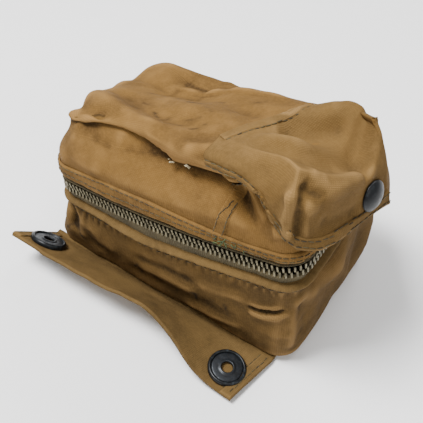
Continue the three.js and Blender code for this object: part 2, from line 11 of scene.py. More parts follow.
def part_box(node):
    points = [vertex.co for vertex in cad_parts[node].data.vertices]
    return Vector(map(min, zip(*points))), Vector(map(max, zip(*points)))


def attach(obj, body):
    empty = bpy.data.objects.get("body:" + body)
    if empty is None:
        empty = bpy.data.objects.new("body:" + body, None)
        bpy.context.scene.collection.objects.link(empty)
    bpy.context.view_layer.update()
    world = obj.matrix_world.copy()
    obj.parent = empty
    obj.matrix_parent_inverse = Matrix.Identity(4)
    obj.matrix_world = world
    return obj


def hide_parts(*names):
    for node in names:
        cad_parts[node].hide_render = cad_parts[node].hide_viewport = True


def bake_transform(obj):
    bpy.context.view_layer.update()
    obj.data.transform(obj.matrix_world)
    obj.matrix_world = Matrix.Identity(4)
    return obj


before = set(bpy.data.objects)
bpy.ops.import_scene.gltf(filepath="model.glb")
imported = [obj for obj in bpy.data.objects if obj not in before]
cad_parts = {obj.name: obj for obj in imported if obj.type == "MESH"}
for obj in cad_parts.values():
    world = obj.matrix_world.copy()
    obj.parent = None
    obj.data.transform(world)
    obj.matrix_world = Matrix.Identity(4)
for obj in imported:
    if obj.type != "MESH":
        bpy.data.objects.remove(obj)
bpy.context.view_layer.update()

bl_info = {
    "name": "Canvas pouch",
    "version": (1, 0, 0),
    "blender": (4, 5, 0),
    "location": "View3D > Sidebar > Pouch",
    "description": "Builds the cloth, zip, press studs and studio of a zippered canvas pouch",
    "category": "Object",
}

MM = 0.001
RNG = np.random.default_rng(11)
STITCH_WANDER, STITCH_TURN = 0.12, 0.06  # how unevenly a stitch is placed and turned

# The pouch's plan and heights, in millimetres, the same as its frame
LEFT, RIGHT, FRONT, BACK, CORNER = -62.0, 66.0, -40.0, 38.0, 9.5
TUCK, TUCK_END = 8.0, 33.1  # the left end's lower step, and the height where it is complete
LEAN_HIGH = 30.0  # the upper walls lean in over this height
BOW, BOW_HIGH = 3.0, 25.0  # the walls' bulge, and the height over which it grows
TOP_Z, TOP_RISE, TOP_FALL = 84.0, 0.19, 0.16
SHOULDER = 12.0  # the rounding of the top's edge
CROWN = (8.0, -5.0)  # the top's highest part, in plan
MIDDLE = np.array([2.0, -1.0])  # of the base, in plan
CHAIN_Z, CHAIN_SLOPE = 54.0, 0.172  # the zip's line over X
ROW_DEPTH = 2.45  # the tape's middle lies this far behind the cloth's face
FACING_TOP, WELT_LOW = 13.7, 11.6  # the back hinge cloth's edges from that line
CLOTH = 1.3  # thickness
HAIR = 1e-3  # a step along the wall for its slopes
SOLVE_STEPS = 8
TINY = 1e-9
PER_SIDE = 112  # grid steps along each side of the pouch
HALVES = (("lower", -1), ("upper", 1))


def smooth(t):
    t = np.clip(t, 0.0, 1.0)
    return t * t * (3.0 - 2.0 * t)


def linear(code):
    """Linear opaque colour from an sRGB hex code."""
    parts = [int(code[i:i + 2], 16) / 255 for i in (1, 3, 5)]
    return [c / 12.92 if c <= 0.04045 else ((c + 0.055) / 1.055) ** 2.4 for c in parts] + [1.0]


# ---------- the pouch's wall ----------
def ring(z):
    """Where the four walls stand at a height."""
    left = LEFT + TUCK * smooth(z / TUCK_END) + 8 * smooth((z - 58.4) / LEAN_HIGH)
    right = RIGHT - 3 * smooth((z - 60) / 40)
    front = FRONT + 2 * smooth((z - 62) / LEAN_HIGH)
    back = BACK - 12 * smooth((z - 54) / LEAN_HIGH)
    return left, right, front, back


def wall(s, z):
    """Points of the outer face. s counts sides from the front left corner's middle."""
    s, z = np.broadcast_arrays(np.asarray(s, float), np.asarray(z, float))
    left, right, front, back = ring(z)
    side = np.floor(s).astype(int) % 4
    part = s - np.floor(s)
    length = np.where(side % 2 == 0, right - left, back - front)
    arc = CORNER * math.pi / 4
    d = part * (length - 2 * CORNER + 2 * arc)
    a0 = math.pi / 4 - d / CORNER
    a1 = (d - arc - length + 2 * CORNER) / CORNER
    first, last = d < arc, d > arc + length - 2 * CORNER
    along = np.where(first, CORNER - CORNER * np.sin(a0),
                     np.where(last, length - CORNER + CORNER * np.sin(a1), CORNER + d - arc))
    out = np.where(first, CORNER * np.cos(a0) - CORNER,
                   np.where(last, CORNER * np.cos(a1) - CORNER, 0.0))
    flatter = 1 - 0.6 * smooth((z - 62) / LEAN_HIGH)
    bow = BOW * smooth(z / BOW_HIGH) * flatter * np.sin(math.pi * part)
    x = np.choose(side, [left + along, right + out, right - along, left - out])
    y = np.choose(side, [front - out - bow, front + along, back + out, back - along])
    return np.stack([x, y, z], -1)


def chain_z(x):
    return CHAIN_Z + CHAIN_SLOPE * x


def chain_height(s):
    """Height of the chain's line at s, solved on the wall."""
    z = np.full(np.shape(s), CHAIN_Z)
    for _ in range(SOLVE_STEPS):
        z = chain_z(wall(s, z)[..., 0])
    return z


def side_at(side, axis, value, z):
    """s on one side of the wall where a coordinate takes a value."""
    a, b = float(side), side + 1 - 1e-6
    rising = wall(b, z)[axis] > wall(a, z)[axis]
    for _ in range(40):
        middle = (a + b) / 2
        if (wall(middle, z)[axis] < value) == rising:
            a = middle
        else:
            b = middle
    return (a + b) / 2


CHAIN_LEFT, CHAIN_RIGHT = 44.7, 65.4  # the chain's heights at the two ends
ZIP_START = side_at(-1, 1, 20.0, CHAIN_LEFT)
ZIP_END = side_at(1, 1, 22.0, CHAIN_RIGHT)
SLIDER_S = side_at(-1, 1, -10.0, CHAIN_LEFT)
THROAT_S = side_at(-1, 1, -18.5, CHAIN_LEFT)


def top_height(x, y):
    """The top rises to the right and falls to the back."""
    return TOP_Z + TOP_RISE * (x - LEFT) - TOP_FALL * (y - FRONT)


def rim_height(s):
    """Height of the wall's upper edge at s, solved on the wall."""
    z = np.full(np.shape(s), 90.0)
    for _ in range(SOLVE_STEPS):
        p = wall(s, z)
        z = top_height(p[..., 0], p[..., 1]) - SHOULDER
    return z


def from_square(p, q):
    """How far out a point of a square lies, from 0 to 1, and the s that it looks towards."""
    r = np.maximum(np.maximum(np.abs(p), np.abs(q)), 1e-6)
    a, b = p / r, q / r
    s = np.where(b <= -1 + TINY, (a + 1) / 2,
                 np.where(a >= 1 - TINY, 1 + (b + 1) / 2,
                          np.where(b >= 1 - TINY, 2 + (1 - a) / 2, 3 + (1 - b) / 2)))
    return r, s % 4


def top_point(p, q):
    """The top, as rounded rings from the rim to the crown; p and q run from -1 to 1."""
    r, s = from_square(p, q)
    rim = wall(s, rim_height(s))
    x = CROWN[0] + (rim[..., 0] - CROWN[0]) * r
    y = CROWN[1] + (rim[..., 1] - CROWN[1]) * r
    edge = np.clip((r - 0.72) / 0.28, 0, 1)
    drop = SHOULDER * (1 - np.sqrt(np.maximum(0, 1 - edge * edge)))
    return np.stack([x, y, top_height(x, y) - drop], -1)


# heights from the chain's line, along X: the welt sags in the middle and the facing tapers
def welt_line(x):
    return -np.interp(x, [-56, -42, -28, -4, 20, 47, 60, 66],
                      [9, 8.4, 9.6, 12.2, 10.6, 9.2, 9.4, 9.6])


def facing_high(x):
    return np.interp(x, [-54, -25, 0, 28, 44, 66], [12.6, 14.8, 14.6, 11.2, 9.8, 9.8])


# ---------- cloth shape: noise, folds and swellings ----------
def lattice(points, seed):
    """Smooth value noise from -1 to 1, repeatable for a seed."""
    cell = np.floor(points).astype(np.int64)
    t = points - cell
    t = t * t * (3 - 2 * t)
    total = 0.0
    for dx in (0, 1):
        for dy in (0, 1):
            for dz in (0, 1):
                h = (cell[:, 0] + dx) * 374761393 + (cell[:, 1] + dy) * 668265263
                h = (h + (cell[:, 2] + dz) * 2147483647 + seed * 1442695041) & 0xFFFFFFFF
                h = ((h ^ (h >> 13)) * 1274126177) & 0xFFFFFFFF
                value = ((h ^ (h >> 16)) & 0xFFFF) / 32767.5 - 1
                weight = (t[:, 0] if dx else 1 - t[:, 0]) * (t[:, 1] if dy else 1 - t[:, 1])
                total = total + value * weight * (t[:, 2] if dz else 1 - t[:, 2])
    return total


def to_line(points, line):
    """Distance of points to a bent line, and how far along it the nearest place is, 0 to 1."""
    line = np.asarray(line, float)
    best = np.full(len(points), 1e9)
    where = np.zeros(len(points))
    for i, (a, b) in enumerate(zip(line[:-1], line[1:])):
        ab = b - a
        t = np.clip((points - a) @ ab / (ab @ ab), 0, 1)
        d = np.linalg.norm(points - a - t[:, None] * ab, axis=1)
        near = d < best
        best[near] = d[near]
        where[near] = (i + t[near]) / (len(line) - 1)
    return best, where


PLANES = {"front": ((0, 2), (0, -1, 0)), "end": ((1, 2), (1, 0, 0)), "left": ((1, 2), (-1, 0, 0)),
          "back": ((0, 2), (0, 1, 0)), "top": ((0, 1), (0, 0, 1)), "all": ((0, 1, 2), None)}


def fold_field(points, normals, folds):
    """Heights of creases (negative) and ridges (positive), each tapering to its ends."""
    total = np.zeros(len(points))
    for plane, line, height, width in folds:
        axes, facing = PLANES[plane]
        d, along = to_line(points[:, axes], line)
        taper = smooth(along / 0.22) * smooth((1 - along) / 0.22)
        if facing is not None:
            taper = taper * smooth((normals @ np.array(facing, float) - 0.1) / 0.4)
        shape = np.exp(-(d / width) ** 2)
        # cloth heaped up beside a crease, and drawn in beside a ridge
        shoulder = 0.35 * np.exp(-((d - 1.9 * width) / width) ** 2)
        total += height * taper * (shape - shoulder)
    return total


def swell_field(points, swells):
    """Heights of soft swellings and hollows: centre, radii and height."""
    total = np.zeros(len(points))
    for centre, radius, height in swells:
        d = (points - np.array(centre)) / np.array(radius)
        total += height * np.exp(-(d * d).sum(1))
    return total


def wrinkles(points, depth, seed):
    """Soft rumples of worn cloth at three sizes; the ridged one gives fine creases."""
    wide = lattice(points / 21.0, seed)
    middle = lattice(points / np.array([9.0, 9.0, 7.0]), seed + 1)
    bent = points + 3.0 * np.stack([lattice(points / 12, seed + k) for k in (5, 6, 7)], -1)
    fine = 1 - np.abs(lattice(bent / 8.0, seed + 2)) * 2.2
    return depth * (0.9 * wide + 0.38 * middle + 0.22 * np.clip(fine, -1, 1))


# ---------- meshes ----------
def coordinates(bm):
    return np.array([v.co for v in bm.verts]) / MM, np.array([v.normal for v in bm.verts])


def put(bm, points):
    for v, p in zip(bm.verts, points * MM):
        v.co = p


def cloth_grid(bm, columns, rows, place, size):
    """A grid of cloth whose point (u, v) goes to place(u, v); its UV map is in metres."""
    uv = bm.loops.layers.uv.verify()
    grid = bmesh.ops.create_grid(bm, x_segments=columns, y_segments=rows, size=1, calc_uvs=True)
    flat = (np.array([v.co for v in grid["verts"]]) + 1) / 2
    points = place(flat[:, 0], flat[:, 1]) * MM
    where = {}
    for v, p, f in zip(grid["verts"], points, flat):
        where[v] = (f[0] * size[0] * MM, f[1] * size[1] * MM)
        v.co = p
    for face in {f for v in grid["verts"] for f in v.link_faces}:
        for loop in face.loops:
            loop[uv].uv = where[loop.vert]


def from_middle(p, n):
    return (n[:, :2] * (p[:, :2] - MIDDLE)).sum()


def upward(p, n):
    return n[:, 2].sum()


def outward(bm, facing=from_middle):
    """Makes the faces agree and look outwards; gives the vertices' places and normals."""
    bmesh.ops.recalc_face_normals(bm, faces=bm.faces)
    bm.normal_update()
    p, n = coordinates(bm)
    if facing(p, n) < 0:
        bmesh.ops.reverse_faces(bm, faces=bm.faces)
        bm.normal_update()
        p, n = coordinates(bm)
    return p, n


def relax(bm, verts):
    bmesh.ops.smooth_vert(bm, verts=verts, factor=0.5, use_axis_x=True, use_axis_y=True,
                          use_axis_z=True)


def vertex_values(mesh, name):
    """The vertices' co or normal, one row each."""
    values = np.empty(len(mesh.vertices) * 3)
    mesh.vertices.foreach_get(name, values)
    return values.reshape(-1, 3)


def store(mesh, name, values):
    """Stores a value at each vertex as an attribute."""
    layer = mesh.attributes.new(name, "FLOAT", "POINT")
    layer.data.foreach_set("value", values.astype(np.float32))


def relief(mesh, reach):
    """Stores how far each vertex stands out from its surroundings as the attribute relief."""
    n = len(mesh.vertices)
    co = vertex_values(mesh, "co") / MM
    edges = np.empty(len(mesh.edges) * 2, int)
    mesh.edges.foreach_get("vertices", edges)
    a, b = edges.reshape(-1, 2).T
    count = np.maximum(np.bincount(a, minlength=n) + np.bincount(b, minlength=n), 1)
    mean = co.copy()
    for _ in range(reach):
        total = [np.bincount(a, mean[b, axis], n) + np.bincount(b, mean[a, axis], n)
                 for axis in range(3)]
        mean = np.stack(total, -1) / count[:, None]
    # the canvas finishes fade the ridges by this value, and lay dirt with painted shade into the
    # hollows
    store(mesh, "relief", np.einsum("ij,ij->i", co - mean, vertex_values(mesh, "normal")))


def finish_mesh(bm, name, body, finish, replaced=(), reach=0):
    """Turns a bmesh into a piece that rides on a body and stands for its CAD nodes."""
    mesh = bpy.data.meshes.new(name)
    bm.to_mesh(mesh)
    bm.free()
    piece = made[name] = bpy.data.objects.new(name, mesh)
    bpy.context.scene.collection.objects.link(piece)
    mesh.materials.append(materials[finish])
    mesh.shade_smooth()
    if body:
        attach(piece, body)
    if replaced:
        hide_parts(*replaced)
    if reach:
        relief(mesh, reach)
    return piece


def thicken(piece, thickness, offset=-1.0, lined=False):
    """Gives the cloth its thickness, towards the inside."""
    solid = piece.modifiers.new("cloth thickness", "SOLIDIFY")
    solid.thickness = thickness * MM
    solid.offset = offset
    solid.use_even_offset = False
    if lined:
        piece.data.materials.append(materials["inside"])
        solid.material_offset = 1


def stamp(bm, template, matrix):
    """Adds a copy of a small template mesh under a matrix."""
    known = len(bm.verts)
    bm.from_mesh(template)
    bm.verts.ensure_lookup_table()
    bmesh.ops.transform(bm, matrix=matrix, verts=bm.verts[known:])


def frame_of(point, along, normal):
    """A matrix at a point in metres: X along, Z on the normal."""
    z = Vector(normal).normalized()
    x = Vector(along)
    x = (x - z * x.dot(z)).normalized()
    y = z.cross(x)
    return Matrix.Translation(Vector(point)) @ Matrix((x, y, z)).transposed().to_4x4()


def resampled(line, pitch):
    """Points every pitch along a line of points, with their directions."""
    line = np.asarray(line, float)
    step = np.linalg.norm(np.diff(line, axis=0), axis=1)
    at = np.concatenate([[0], np.cumsum(step)])
    places = np.arange(pitch / 2, at[-1], pitch)
    points = np.stack([np.interp(places, at, line[:, k]) for k in range(3)], -1)
    ahead = np.stack([np.interp(places + 0.3, at, line[:, k]) for k in range(3)], -1)
    behind = np.stack([np.interp(places - 0.3, at, line[:, k]) for k in range(3)], -1)
    return points, ahead - behind


def tree_of(*names):
    """A search tree over the named pieces' cloth, before its thickness is added."""
    bm = bmesh.new()
    for name in names:
        bm.from_mesh(made[name].data)
    tree = BVHTree.FromBMesh(bm)
    bm.free()
    return tree


def on_cloth(tree, points, heights):
    """Points moved to the nearest cloth, each lifted off it by its height."""
    out = []
    for point, height in zip(points, heights):
        hit, normal, _, _ = tree.find_nearest(Vector(point * MM))
        out.append(np.array(hit) / MM + np.array(normal) * height)
    return np.array(out)


def pillow(t, edge):
    """0 at both ends of 0 to 1, and 1 between, rounded over a width of edge."""
    return np.clip(np.minimum(t, 1 - t) / edge, 0, 1) ** 0.5


def stitch_template(name, length, radius):
    """One stitch: a short capsule lying on the cloth, a few dozen faces."""
    bm = bmesh.new()
    bmesh.ops.create_uvsphere(bm, u_segments=6, v_segments=4, radius=radius * MM)
    bmesh.ops.rotate(bm, verts=bm.verts, matrix=Matrix.Rotation(math.pi / 2, 3, "Y"))
    for v in bm.verts:
        v.co.x += math.copysign((length / 2 - radius) * MM, v.co.x) if abs(v.co.x) > 1e-7 else 0
    mesh = bpy.data.meshes.new(name)
    bm.to_mesh(mesh)
    bm.free()
    return mesh


def sew(bm, template, tree, line, pitch, lift):
    """A row of stitches laid on the nearest cloth along a line in millimetres."""
    points, ways = resampled(line, pitch)
    for p, way in zip(points, ways):
        hit, normal, _, _ = tree.find_nearest(Vector(p * MM))
        if hit is None:
            continue
        side = Vector(way).cross(normal).normalized() * float(RNG.normal(0, STITCH_WANDER)) * MM
        turn = Vector(way).normalized() + Vector(RNG.normal(0, STITCH_TURN, 3))
        stamp(bm, template, frame_of(hit + normal * lift * MM + side, turn, normal))


# ---------- materials ----------
SOFT = {"interpolation_type": "SMOOTHSTEP"}


def plug(tree, target, links):
    """Sets a node's inputs by name, or i and a number, and links those given a socket."""
    for key, value in links.items():
        numbered = key[0] == "i" and key[1:].isdigit()
        socket = target.inputs[int(key[1:]) if numbered else key.replace("_", " ")]
        if isinstance(value, bpy.types.NodeSocket):
            tree.links.new(value, socket)
        else:
            socket.default_value = value


def node(tree, kind, settings=None, **links):
    """Adds a node with its settings and inputs."""
    added = tree.nodes.new(kind)
    for key, value in (settings or {}).items():
        setattr(added, key, value)
    plug(tree, added, links)
    return added


def begin(name):
    material = bpy.data.materials.new(name)
    material.use_nodes = True
    tree = material.node_tree
    return material, tree, tree.nodes["Principled BSDF"]


def coat(tree, under, over, value, low, high, first, last):
    """Lays a colour over another: first to last of it as the value goes from low to high."""
    amount = node(tree, "ShaderNodeMapRange", SOFT, i0=value, i1=low, i2=high, i3=first, i4=last)
    return node(tree, "ShaderNodeMix", {"data_type": "RGBA"}, i0=amount.outputs[0],
                i6=under, i7=linear(over)).outputs[2]


# Cotton duck, woven, dyed khaki and worn: a fine grain of threads, faded by wear on its ridges,
# darkened in its valleys by dirt and painted shade, with cloudy brown and olive patches.
def worn_canvas(name, base, faded, soiled_and_shaded, marks=0.0):
    material, tree, shader = begin(name)
    place = node(tree, "ShaderNodeTexCoord")
    clouds, patches, slub = [
        node(tree, "ShaderNodeTexNoise", Vector=place.outputs["Object"], Scale=scale,
             Detail=detail, Roughness=rough).outputs[0]
        for scale, detail, rough in ((34.0, 4.0, 0.6), (75.0, 5.0, 0.65), (900.0, 2.0, 0.7))]
    # threads of duck lie about 0.5 mm apart; drawn 0.7 mm apart, so that they show
    warp, weft = [
        node(tree, "ShaderNodeTexWave", {"bands_direction": way}, Vector=place.outputs["UV"],
             Scale=450.0, Distortion=1.2, Detail=1.0, Detail_Scale=2.0).outputs[1]
        for way in "XY"]
    weave = node(tree, "ShaderNodeMath", {"operation": "MULTIPLY"}, i0=warp, i1=weft).outputs[0]
    raised = node(tree, "ShaderNodeAttribute", {"attribute_name": "relief"}).outputs["Fac"]
    colour = linear(base)
    # the relief coats: ridges faded by wear, and valleys darkened by dirt together with painted
    # shade, deeper in the deeper creases
    for over, value, low, high, first, last in (
            (soiled_and_shaded, clouds, 0.35, 0.68, 0.0, 0.55), (faded, patches, 0.48, 0.75, 0.0, 0.4),
            (faded, raised, 0.02, 0.45, 0.0, 0.85), (soiled_and_shaded, raised, -0.02, -0.4, 0.0, 1.0),
            (faded, slub, 0.3, 0.75, 0.0, 0.22), (soiled_and_shaded, weave, 0.0, 0.5, 0.2, 0.0)):
        colour = coat(tree, colour, over, value, low, high, first, last)
    if marks:
        stain = node(tree, "ShaderNodeAttribute", {"attribute_name": "stain"}).outputs["Fac"]
        colour = coat(tree, colour, "#241d16", stain, 0.05, 1.0, 0.0, marks)
    height = node(tree, "ShaderNodeMath", {"operation": "MULTIPLY_ADD"}, i0=slub, i1=0.7, i2=weave)
    bump = node(tree, "ShaderNodeBump", Strength=0.4, Distance=0.0004, Height=height.outputs[0])
    plug(tree, shader, {"Base Color": colour, "Roughness": 0.92, "Specular IOR Level": 0.12,
                        "Normal": bump.outputs[0]})
    return material


# Cotton zip tape, woven in a fine herringbone: duller and greener than the canvas.
def zip_tape():
    material, tree, shader = begin("zip tape, woven cotton")
    place = node(tree, "ShaderNodeTexCoord")
    # ribs 0.8 mm apart along the tape
    ribs = node(tree, "ShaderNodeTexWave", {"bands_direction": "X"}, Vector=place.outputs["UV"],
                Scale=390.0, Distortion=1.0, Detail=1.0).outputs[1]
    cloud = node(tree, "ShaderNodeTexNoise", Vector=place.outputs["Object"], Scale=120.0,
                 Detail=4.0).outputs[0]
    colour = coat(tree, linear("#40371f"), "#574b2d", cloud, 0.3, 0.7, 0.0, 1.0)
    colour = coat(tree, colour, "#38301f", ribs, 0.2, 0.8, 0.4, 0.0)
    bump = node(tree, "ShaderNodeBump", Strength=0.5, Distance=0.0003, Height=ribs)
    plug(tree, shader, {"Base Color": colour, "Roughness": 0.9, "Normal": bump.outputs[0]})
    return material


def mottled(name, dark, light, low, high, noise, rough=None, dents=None, **sockets):
    """A finish whose colour goes from dark to light, and its roughness over rough, in patches."""
    material, tree, shader = begin(name)
    place = node(tree, "ShaderNodeTexCoord")
    cloud = node(tree, "ShaderNodeTexNoise", Vector=place.outputs["Object"], **noise).outputs[0]
    sockets["Base Color"] = coat(tree, linear(dark), light, cloud, low, high, 0.0, 1.0)
    if rough:
        sockets["Roughness"] = node(tree, "ShaderNodeMapRange", SOFT, i0=cloud, i1=0.3, i2=0.7,
                                    i3=rough[0], i4=rough[1]).outputs[0]
    if dents:
        bump = node(tree, "ShaderNodeBump", Strength=0.3, Distance=dents, Height=cloud)
        sockets["Normal"] = bump.outputs[0]
    plug(tree, shader, sockets)
    return material


# Nickel brass, stamped and dulled by handling: warm grey, brighter where it rubs.
def zip_metal():
    return mottled("nickel brass, stamped and tarnished", "#4f4a3a", "#7a725a", 0.2, 0.85,
                   {"Scale": 420.0, "Detail": 3.0}, (0.5, 0.3), Metallic=0.85)


# Steel, black oxide under lacquer: near black and glossy, blue-grey where light glances off.
def black_oxide():
    return mottled("steel, black oxide and lacquer", "#101214", "#2c3236", 0.5, 0.8,
                   {"Scale": 520.0, "Detail": 5.0}, (0.34, 0.5), Metallic=0.1,
                   Specular_IOR_Level=0.25, Coat_Weight=0.06, Coat_Roughness=0.3)


# Steel, plain and oiled, gone slate grey: satin, with scratches and darker grime.
def slate_steel():
    return mottled("steel, oiled and scuffed", "#15171a", "#33373c", 0.35, 0.7,
                   {"Scale": 330.0, "Detail": 6.0, "Roughness": 0.7}, (0.55, 0.35),
                   dents=0.0002, Metallic=0.55)


# Cotton sewing thread, spun: matt, its colour uneven along its length.
def thread(name, dark, light):
    return mottled(name, dark, light, 0.35, 0.65, {"Scale": 260.0, "Detail": 3.0}, Roughness=0.85)


def make_materials():
    return {
        # each cloth's third colour is its dirt, and also the painted shade laid into its creases
        "canvas": worn_canvas("cotton duck, woven and worn", "#6f5229", "#8d6b3d", "#382814", 1.0),
        "hood": worn_canvas("cotton duck, woven and sun-faded", "#684f2a", "#84673e", "#48371f"),
        "lower": worn_canvas("cotton duck, woven and soiled", "#5e4725", "#7b5f38", "#2b2010", 1.0),
        "flange": worn_canvas("cotton duck, woven and rubbed", "#624d2c", "#7a6039", "#382b18"),
        "inside": worn_canvas("cotton duck, woven, inner side", "#6b4f28", "#80602f", "#3a2a14"),
        "tape": zip_tape(),
        "zip": zip_metal(),
        "black": black_oxide(),
        "slate": slate_steel(),
        "thread": thread("cotton thread, spun, dark olive", "#2a2413", "#4c4226"),
        "green": thread("cotton thread, spun, green", "#2c3a1e", "#47552c"),
        "pale": thread("cotton thread, spun, undyed", "#8f8468", "#c3b795"),
    }


materials = {}
made = {}  # the new pieces, by name


# ---------- sizes and colours a user would change ----------
def millimetres(name, description, default, low, high):
    return bpy.props.FloatProperty(name=name, description=f"{description}, in millimetres",
                                   default=default, min=low, max=high)


class PouchSizes(bpy.types.PropertyGroup):
    wrinkle: millimetres("Rumple depth", "Depth of the soft rumples", 0.8, 0, 3)
    stitch_pitch: millimetres("Stitch pitch", "Distance from stitch to stitch", 2.6, 1, 6)
    stitch_length: millimetres("Stitch length", "Length of a stitch", 2.2, 0.5, 5)
    thread_radius: millimetres("Thread radius", "Radius of the thread", 0.21, 0.1, 1)
    tooth_pitch: millimetres("Tooth pitch", "Distance between teeth of one row", 2.1, 1, 5)
    floor_size: bpy.props.FloatProperty(name="Floor size", description="Side of the studio floor",
                                        default=6.0, subtype="DISTANCE", unit="LENGTH")


class PouchColours(bpy.types.PropertyGroup):
    floor: bpy.props.FloatVectorProperty(
        name="Floor", description="Colour of the studio floor", size=4, subtype="COLOR",
        default=(0.93, 0.93, 0.93, 1.0), min=0, max=1)


# ---------- lower half ----------
LOWER_FOLDS = [
    # front: the pinched crease near the right corner, and the corner's upright folds
    ("front", [(45, 32), (52, 33), (58, 36), (62, 39)], -2.2, 1.2),
    ("front", [(46, 29), (54, 30), (61, 34)], 0.5, 2.2),
    ("front", [(20, 30), (34, 33), (48, 37)], 0.8, 3.2),
    ("front", [(-14, 22), (6, 28), (24, 30)], -1.0, 3.0),
    ("all", [(64.5, -37, 8), (65.5, -37, 30), (66, -36, 48)], 0.9, 2.0),
    ("front", [(-50, 36), (-46, 26), (-48, 14)], -2.4, 3.2),
    ("front", [(-38, 30), (-30, 22), (-18, 20)], 1.0, 4.0),
    ("front", [(-20, 12), (10, 16), (40, 22)], -0.9, 4.0),
    ("front", [(10, 8), (30, 12), (48, 18)], 0.8, 3.0),
    # right end
    ("end", [(-36, 56), (-24, 49), (-12, 46), (4, 50)], -3.0, 5.0),
    ("end", [(-34, 44), (-30, 28), (-30, 8)], -1.4, 4.0),
    ("end", [(-14, 50), (-9, 38), (2, 22), (8, 6)], 1.4, 5.0),
    ("end", [(16, 46), (18, 30), (14, 12)], -0.8, 5.0),
    ("end", [(26, 44), (28, 24), (26, 8)], 0.8, 5.0),
    # left end and back
    ("left", [(-28, 30), (-10, 22), (8, 26)], -1.8, 4.0),
    ("left", [(10, 34), (16, 18), (14, 6)], 1.8, 4.0),
    ("back", [(-40, 34), (-14, 26), (14, 30), (44, 24)], -1.8, 4.5),
    ("back", [(-44, 14), (-12, 10), (22, 16)], 1.6, 4.0),
    ("back", [(-30, 42), (-24, 20), (-30, 6)], -1.2, 3.0),
    ("back", [(30, 44), (26, 22), (34, 8)], 1.4, 3.5),
]
LOWER_SWELLS = [
    ((0, -42, 18), (45, 14, 15), 1.2),
    ((-52, -34, 36), (9, 12, 8), -2.2),
    ((67, -10, 22), (10, 22, 22), 2.2),
    ((-60, 5, 18), (10, 24, 16), 1.6),
    ((0, 38, 24), (50, 10, 18), 2.0),
]


FOOT_ROLL, FOOT_HIGH = 5.5, 6.5  # how far the cloth rolls in at the ground, and from what height
# smudged traces where the cloth was once marked: broken, blurred strokes with no reading
FRONT_MARKS = [
    [(-53, 12), (-50, 17), (-46, 18)], [(-44, 20), (-43, 15), (-40, 12)],
    [(-38, 17), (-34, 19), (-33, 14)], [(-30, 18), (-27, 14), (-29, 10)], [(-22, 20), (-20, 16)],
    [(-12, 16), (-9, 20), (-8, 13)], [(-2, 18), (1, 14)], [(8, 20), (12, 17), (10, 13)],
    [(18, 21), (22, 23), (21, 17)], [(27, 20), (30, 24)], [(33, 22), (38, 20), (36, 26)],
]
TOP_MARKS = [
    [(-17, -15), (-12, -18)], [(-10, -20), (-7, -15)], [(-4, -21), (1, -20)], [(0, -16), (4, -13)],
    [(6, -22), (9, -17)], [(-31, 1), (-27, 4)], [(-24, 0), (-22, 6)], [(-19, 3), (-14, 0)],
    [(-12, 8), (-9, 3)], [(-7, -4), (-2, -3)], [(-5, 7), (0, 9)], [(-22, 11), (-17, 12)],
    [(-26, -10), (-20, -11)], [(3, -7), (7, -9)], [(14, 10), (18, 12)],
]


def stain_strokes(mesh, plane, strokes):
    """Stores strokes 1 mm to each side, and the blotches round them, as the attribute stain."""
    co = vertex_values(mesh, "co") / MM
    axes, facing = PLANES[plane]
    seen = smooth((vertex_values(mesh, "normal") @ np.array(facing, float) - 0.2) / 0.4)
    strength = np.zeros(len(co))
    fade = 0.55 + 0.45 * lattice(co / 3.0, 31)
    blurred = co[:, axes] + 0.8 * np.stack([lattice(co / 4, 32), lattice(co / 4, 33)], -1)
    for stroke in strokes:
        d, _ = to_line(blurred, stroke)
        strength = np.maximum(strength, np.exp(-d ** 2) * fade)
        strength = np.maximum(strength, 0.3 * np.exp(-(d / 3.2) ** 2))
    store(mesh, "stain", strength * seen)


def lower_edge(s):
    """Height of the lower half's upper edge: under the welt, or at the cloth hinge."""
    z = chain_height(s)
    x = wall(s, z)[..., 0]
    span = np.where(np.asarray(s) > 3, np.asarray(s) - 4, s)
    front = smooth((span + 0.1) / 0.2) * smooth((1.05 - span) / 0.1)
    return z - WELT_LOW - front * (-welt_line(x) + 0.4 - WELT_LOW)


